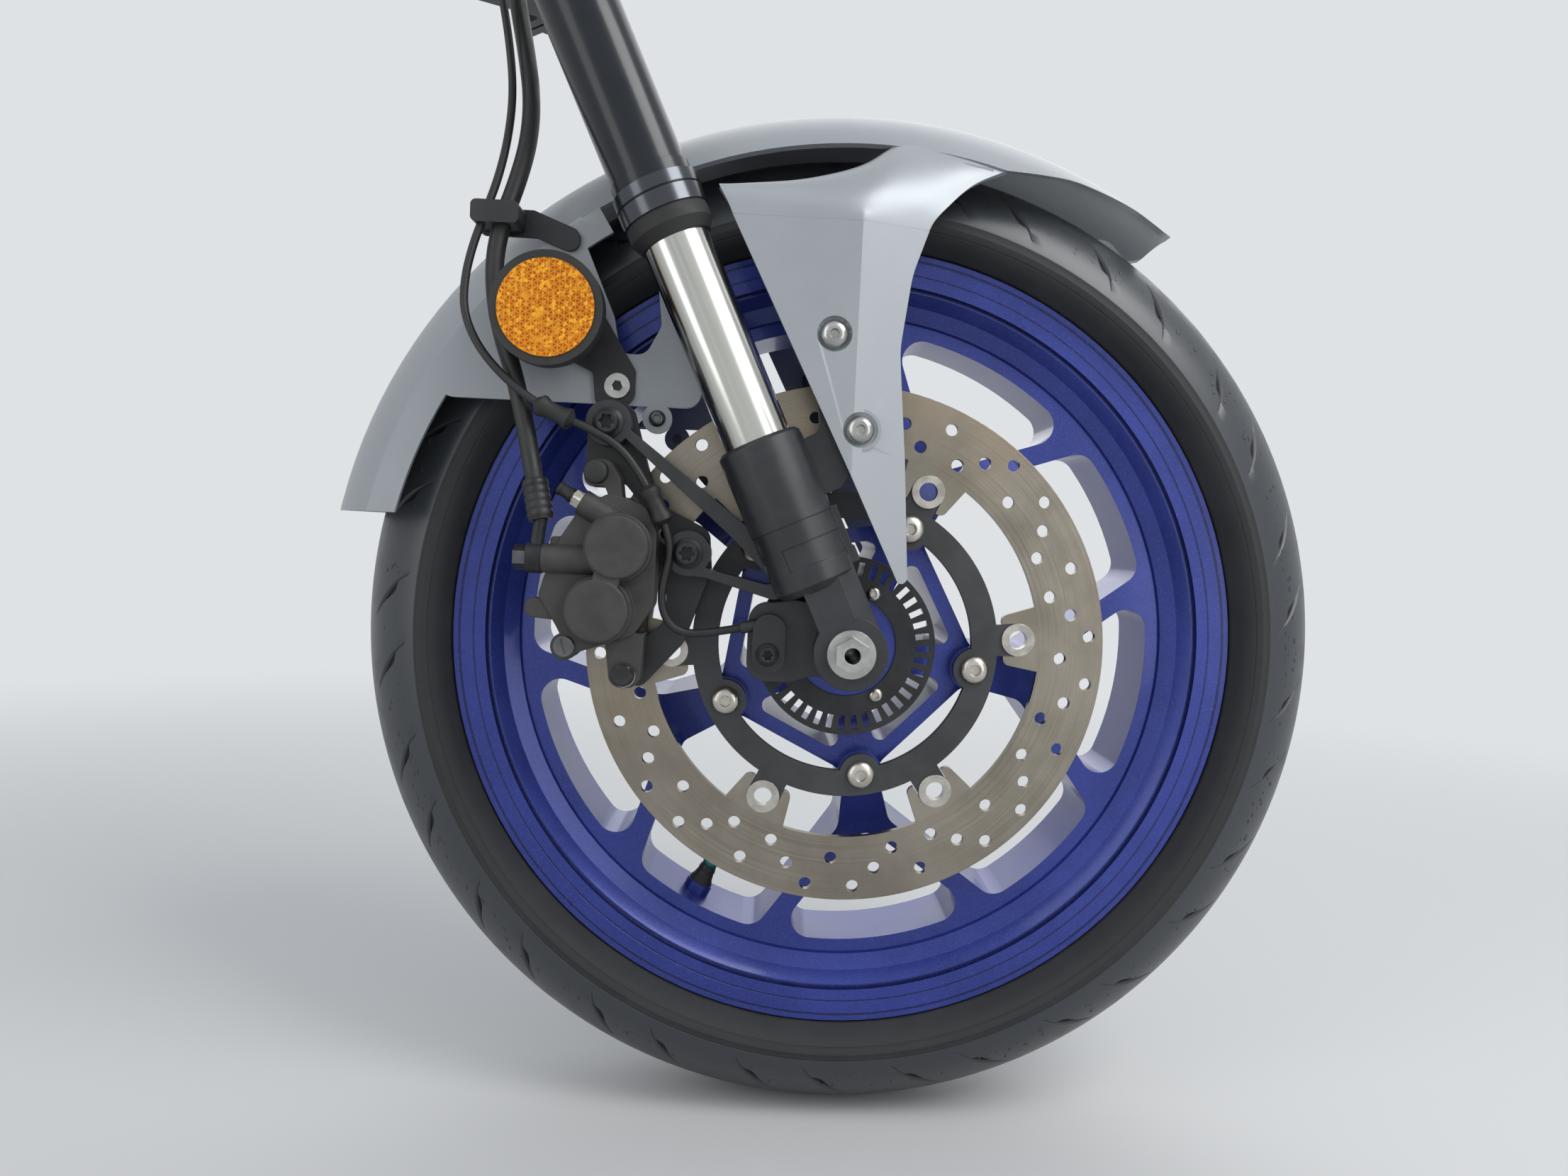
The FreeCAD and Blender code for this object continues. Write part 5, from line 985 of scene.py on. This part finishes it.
PIN_CAP = [(-1.0, 6.6), (2.0, 6.6), (3.4, 6.0), (4.2, 4.2), (4.3, 1.0)]
YOKES = (("lower_yoke", 483), ("upper_yoke", 651))
set_of_heads("carrier_bolts", button_head(16.5, 4.2, 3.0), seats_round("disc_carrier", 76, 63.6, 5, 6),
             "bobbin_zinc", 4, "wheel")
set_of_heads("ring_bolts", button_head(8.0, 2.2, 1.6), seats_round("speed_ring", 33.6, 64.1, 3, 2.5),
             "bobbin_zinc", 2, "wheel")
set_of_heads("guard_bolts", button_head(15.5, 4.6, 2.3),
             [seat("mudguard", at(x, 0, z), side, 5.8) for side in BOTH_SIDES
              for x, z in ((-16.4, 170.5), (0, 120))], "turned_steel", 3)
set_of_heads("caliper_bolts", flange_head(12.5, 17, 8.0, 3.6),
             [seat("casting_r", at(x, 0, z), RIGHT, 6) for x, z in ((-136.6, 118.0), (-90.5, 49.0))],
             "bracket_black", 6, paint="ring_steel")
set_of_heads("bracket_bolts", flush_head(15, 2.6),
             [seat("reflector_bracket_" + "rl"[side == LEFT], at(-136, 0, 141), side, 5)
              for side in BOTH_SIDES], "turned_steel", 8)
set_of_heads("ear_bolts", button_head(9.5, 3.0, 2.0),
             [seat("mudguard", at(-113, 0, 124), side, 4.4) for side in BOTH_SIDES], "cap_alloy", 5)
set_of_heads("pinch_bolts", button_head(13, 5.0, 3.2),
             [seat(yoke, leg(s, -37.7, 0), side, 5.5) for yoke, s in YOKES for side in BOTH_SIDES],
             "cap_alloy", 7)
set_of_heads("sensor_bolt", flange_head(9.5, 12.5, 4.5, 2.4),
             [seat("wheel_sensor", at(-44.4, 0, -4.2), RIGHT, 4.5)], "bracket_black", 9, paint="ring_steel")
set_of_heads("pin_plug", plug_head(11.8), [seat("caliper_body", at(-155.4, 0, -4.6), RIGHT, 4.5)],
             "cap_alloy")
set_of_heads("pin_bolt", hex_head(11, 4.5), [seat("slide_pins", at(-122.3, 0, -18), RIGHT, 3)],
             "bracket_black", 3, paint="ring_steel")
set_of_heads("pin_cap", PIN_CAP, [seat("slide_pins", at(-140.8, 0, 90.8), RIGHT, 3)], "seal_rubber")

# %% [markdown]
# Where a tyre leans in corners, its shoulder picks up crumbs of rubber. They lie scattered in one band on
# each side. Geometry Nodes scatter them over the tyre itself: the tree reads the mark that the tyre's
# mesh carries there, and each crumb is a tiny ball of twenty faces, flattened onto the rubber.

# %% Rubber crumbs


def crumbs_tree():
    """The tree that scatters crumbs where the mesh is marked as scrubbed."""
    tree, given = new_tree("crumbs_on_tyre", Crumb="Float", Density="Float", Seed="Int", Finish="Material")
    mark = node(tree, "GeometryNodeInputNamedAttribute", {"Name": "scrub"}, data_type="FLOAT")
    many = maths(tree, "MULTIPLY", mark.outputs["Attribute"], given["Density"])
    spread = node(tree, "GeometryNodeDistributePointsOnFaces",
                  {"Mesh": given["Geometry"], "Density": many, "Seed": given["Seed"]})
    ball = node(tree, "GeometryNodeMeshIcoSphere", {"Radius": given["Crumb"], "Subdivisions": 1})
    chance = node(tree, "FunctionNodeRandomValue", {2: 0.25, 3: 1.0, 8: given["Seed"]}, data_type="FLOAT")
    small = maths(tree, "POWER", chance.outputs[1], 2.0)
    thin, long = maths(tree, "MULTIPLY", small, 0.6), maths(tree, "MULTIPLY", small, 1.7)
    flat = node(tree, "ShaderNodeCombineXYZ", {0: small, 1: long, 2: thin}).outputs[0]
    lain = node(tree, "GeometryNodeInstanceOnPoints",
                {"Points": spread.outputs["Points"], "Instance": ball.outputs[0],
                 "Rotation": spread.outputs["Rotation"], "Scale": flat})
    return end_tree(tree, lain.outputs[0], given["Finish"])


mesh = baked(tyre, crumbs_tree(), Crumb=1.1 * MM, Density=26000.0, Seed=11, Finish=rubber)
rides(linked("rubber_crumbs", mesh, rubber), "wheel", "tyre_rubber")

# %% [markdown]
# The valve stands in a rubber boot on the rim, and a small coloured cap closes it. The bleeder on the
# caliper is a nut with a hollow stem under a rubber cap. The hose ends in a crimped collar with five
# ribs. All are stacks of rings on their own axes.

# %% Valve boot and cap, bleeder, crimp
VALVE_ANGLE = -116.4
BOOT = [(0, 7.8), (2, 7.6), (5, 6.2), (9, 5.3), (10, 5.6), (11, 5.3), (13, 4.7), (13.2, 3.9)]
VALVE_CAP = [(0, 4.5), (0.6, 4.8, KNURL), (8.5, 4.8, KNURL), (9.6, 4.3), (10.4, 3.0)]
BLEEDER_NUT = [(-0.5, 5.4), (0.4, 5.4), (0.6, 4.5, HEX), (5.0, 4.5, HEX), (5.6, 4.2), (5.7, 2.6),
               (8.0, 2.5), (8.1, 1.5)]
BLEEDER_CAP = [(0, 3.9), (0.8, 4.3), (2.2, 3.6), (6.0, 3.4), (7.0, 4.1), (8.4, 3.9), (9.4, 2.4)]
BLEEDER_SPOT, BLEEDER_WAY = at(-148.5, -96, 74.3), Vector((-0.87, 0, 0.49)).normalized()
HOSE_WAY = Vector((-0.223, 0.116, 0.968)).normalized()
CRIMP_LENGTH, RIB_STEP, RIBS = 22.4, 4.2, 5
crimp = [(0, 6.4)]
for k in range(RIBS):
    crimp += [(rise + RIB_STEP * k, r) for rise, r in ((1.5, 6.75), (2.2, 7.15), (4.2, 7.15), (4.9, 6.75))]
crimp += [(CRIMP_LENGTH, 6.4)]
finish("cap_teal", (0.0, 0.12, 0.13), (0.005, 0.17, 0.18), 0.35, 0.5, 300, 2500, 0.03)
forward, up = way(VALVE_ANGLE)
inward = Vector((-forward, 0, -up))
for name, rings, paint, spot, facing, body, slot in (
        ("valve_boot", BOOT, "seal_rubber", AXLE - inward * 182 * MM, inward, "wheel", "seal_rubber"),
        ("valve_cap", VALVE_CAP, "cap_teal", AXLE - inward * 168.8 * MM, inward, "wheel", "black_plastic"),
        ("bleeder_nut", BLEEDER_NUT, "bobbin_zinc", BLEEDER_SPOT, BLEEDER_WAY, "fork", "bobbin_zinc"),
        ("bleeder_cap", BLEEDER_CAP, "seal_rubber", BLEEDER_SPOT + BLEEDER_WAY * 6.2 * MM, BLEEDER_WAY,
         "fork", "seal_rubber"),
        ("hose_crimp", crimp, "ring_steel", at(*HOSE_POINTS[0]) - HOSE_WAY * 22.2 * MM, HOSE_WAY, "fork",
         "ring_steel")):
    rides(stack(name, rings, FINISHES[paint], spot, facing), body, slot)

# %% [markdown]
# Rubber sleeves hold the lead in its clips. A sleeve follows the lead's own smooth line, which is read
# from its spline, and thickens at both ends into a collar.

# %% Sleeves on the lead
SLEEVE_RADII = (2.6, 6.0, 6.0, 4.75, 4.75, 4.75, 4.75, 6.0, 6.0, 2.6)
SLEEVE_POINTS = 20


def line_of(cord):
    """Points along the cord's spline, from a copy of it without thickness."""
    bare = placed("bare_line", cord.data.copy())
    bare.data.bevel_depth = 0
    points = [vertex.co.copy() for vertex in plain_mesh(bare).vertices]
    bpy.data.objects.remove(bare)
    return points


def sleeve(name, line, start, end):
    """A sleeve along part of a line, with its radii at even steps."""
    nearest = [min(range(len(line)), key=lambda i: (line[i] - spot).length) for spot in (start, end)]
    first, last = sorted(nearest)
    steps = len(SLEEVE_RADII) - 1
    spots = [line[first + round(k * (last - first) / steps)] for k in range(steps + 1)]
    corners = []
    for k, (spot, radius) in enumerate(zip(spots, SLEEVE_RADII)):
        ahead = (spots[min(k + 1, steps)] - spots[max(k - 1, 0)]).normalized()
        level = ahead.cross(Y_AXIS).normalized()
        over = ahead.cross(level)
        for j in range(SLEEVE_POINTS):
            angle = math.tau * j / SLEEVE_POINTS
            corners.append(spot + (level * math.cos(angle) + over * math.sin(angle)) * radius * MM)
    mesh = mesh_of(name, corners, tube_faces(len(spots), SLEEVE_POINTS))
    rides(linked(name, mesh, FINISHES["seal_rubber"]), "fork", "seal_rubber")


lead_line = line_of(lead)
sleeve("lower_sleeve", lead_line, at(-104, -98, 64), at(-114, -99, 85))
sleeve("upper_sleeve", lead_line, at(-154, -98.5, 117), at(-175, -98, 127))
print("lead line has", len(lead_line), "points")
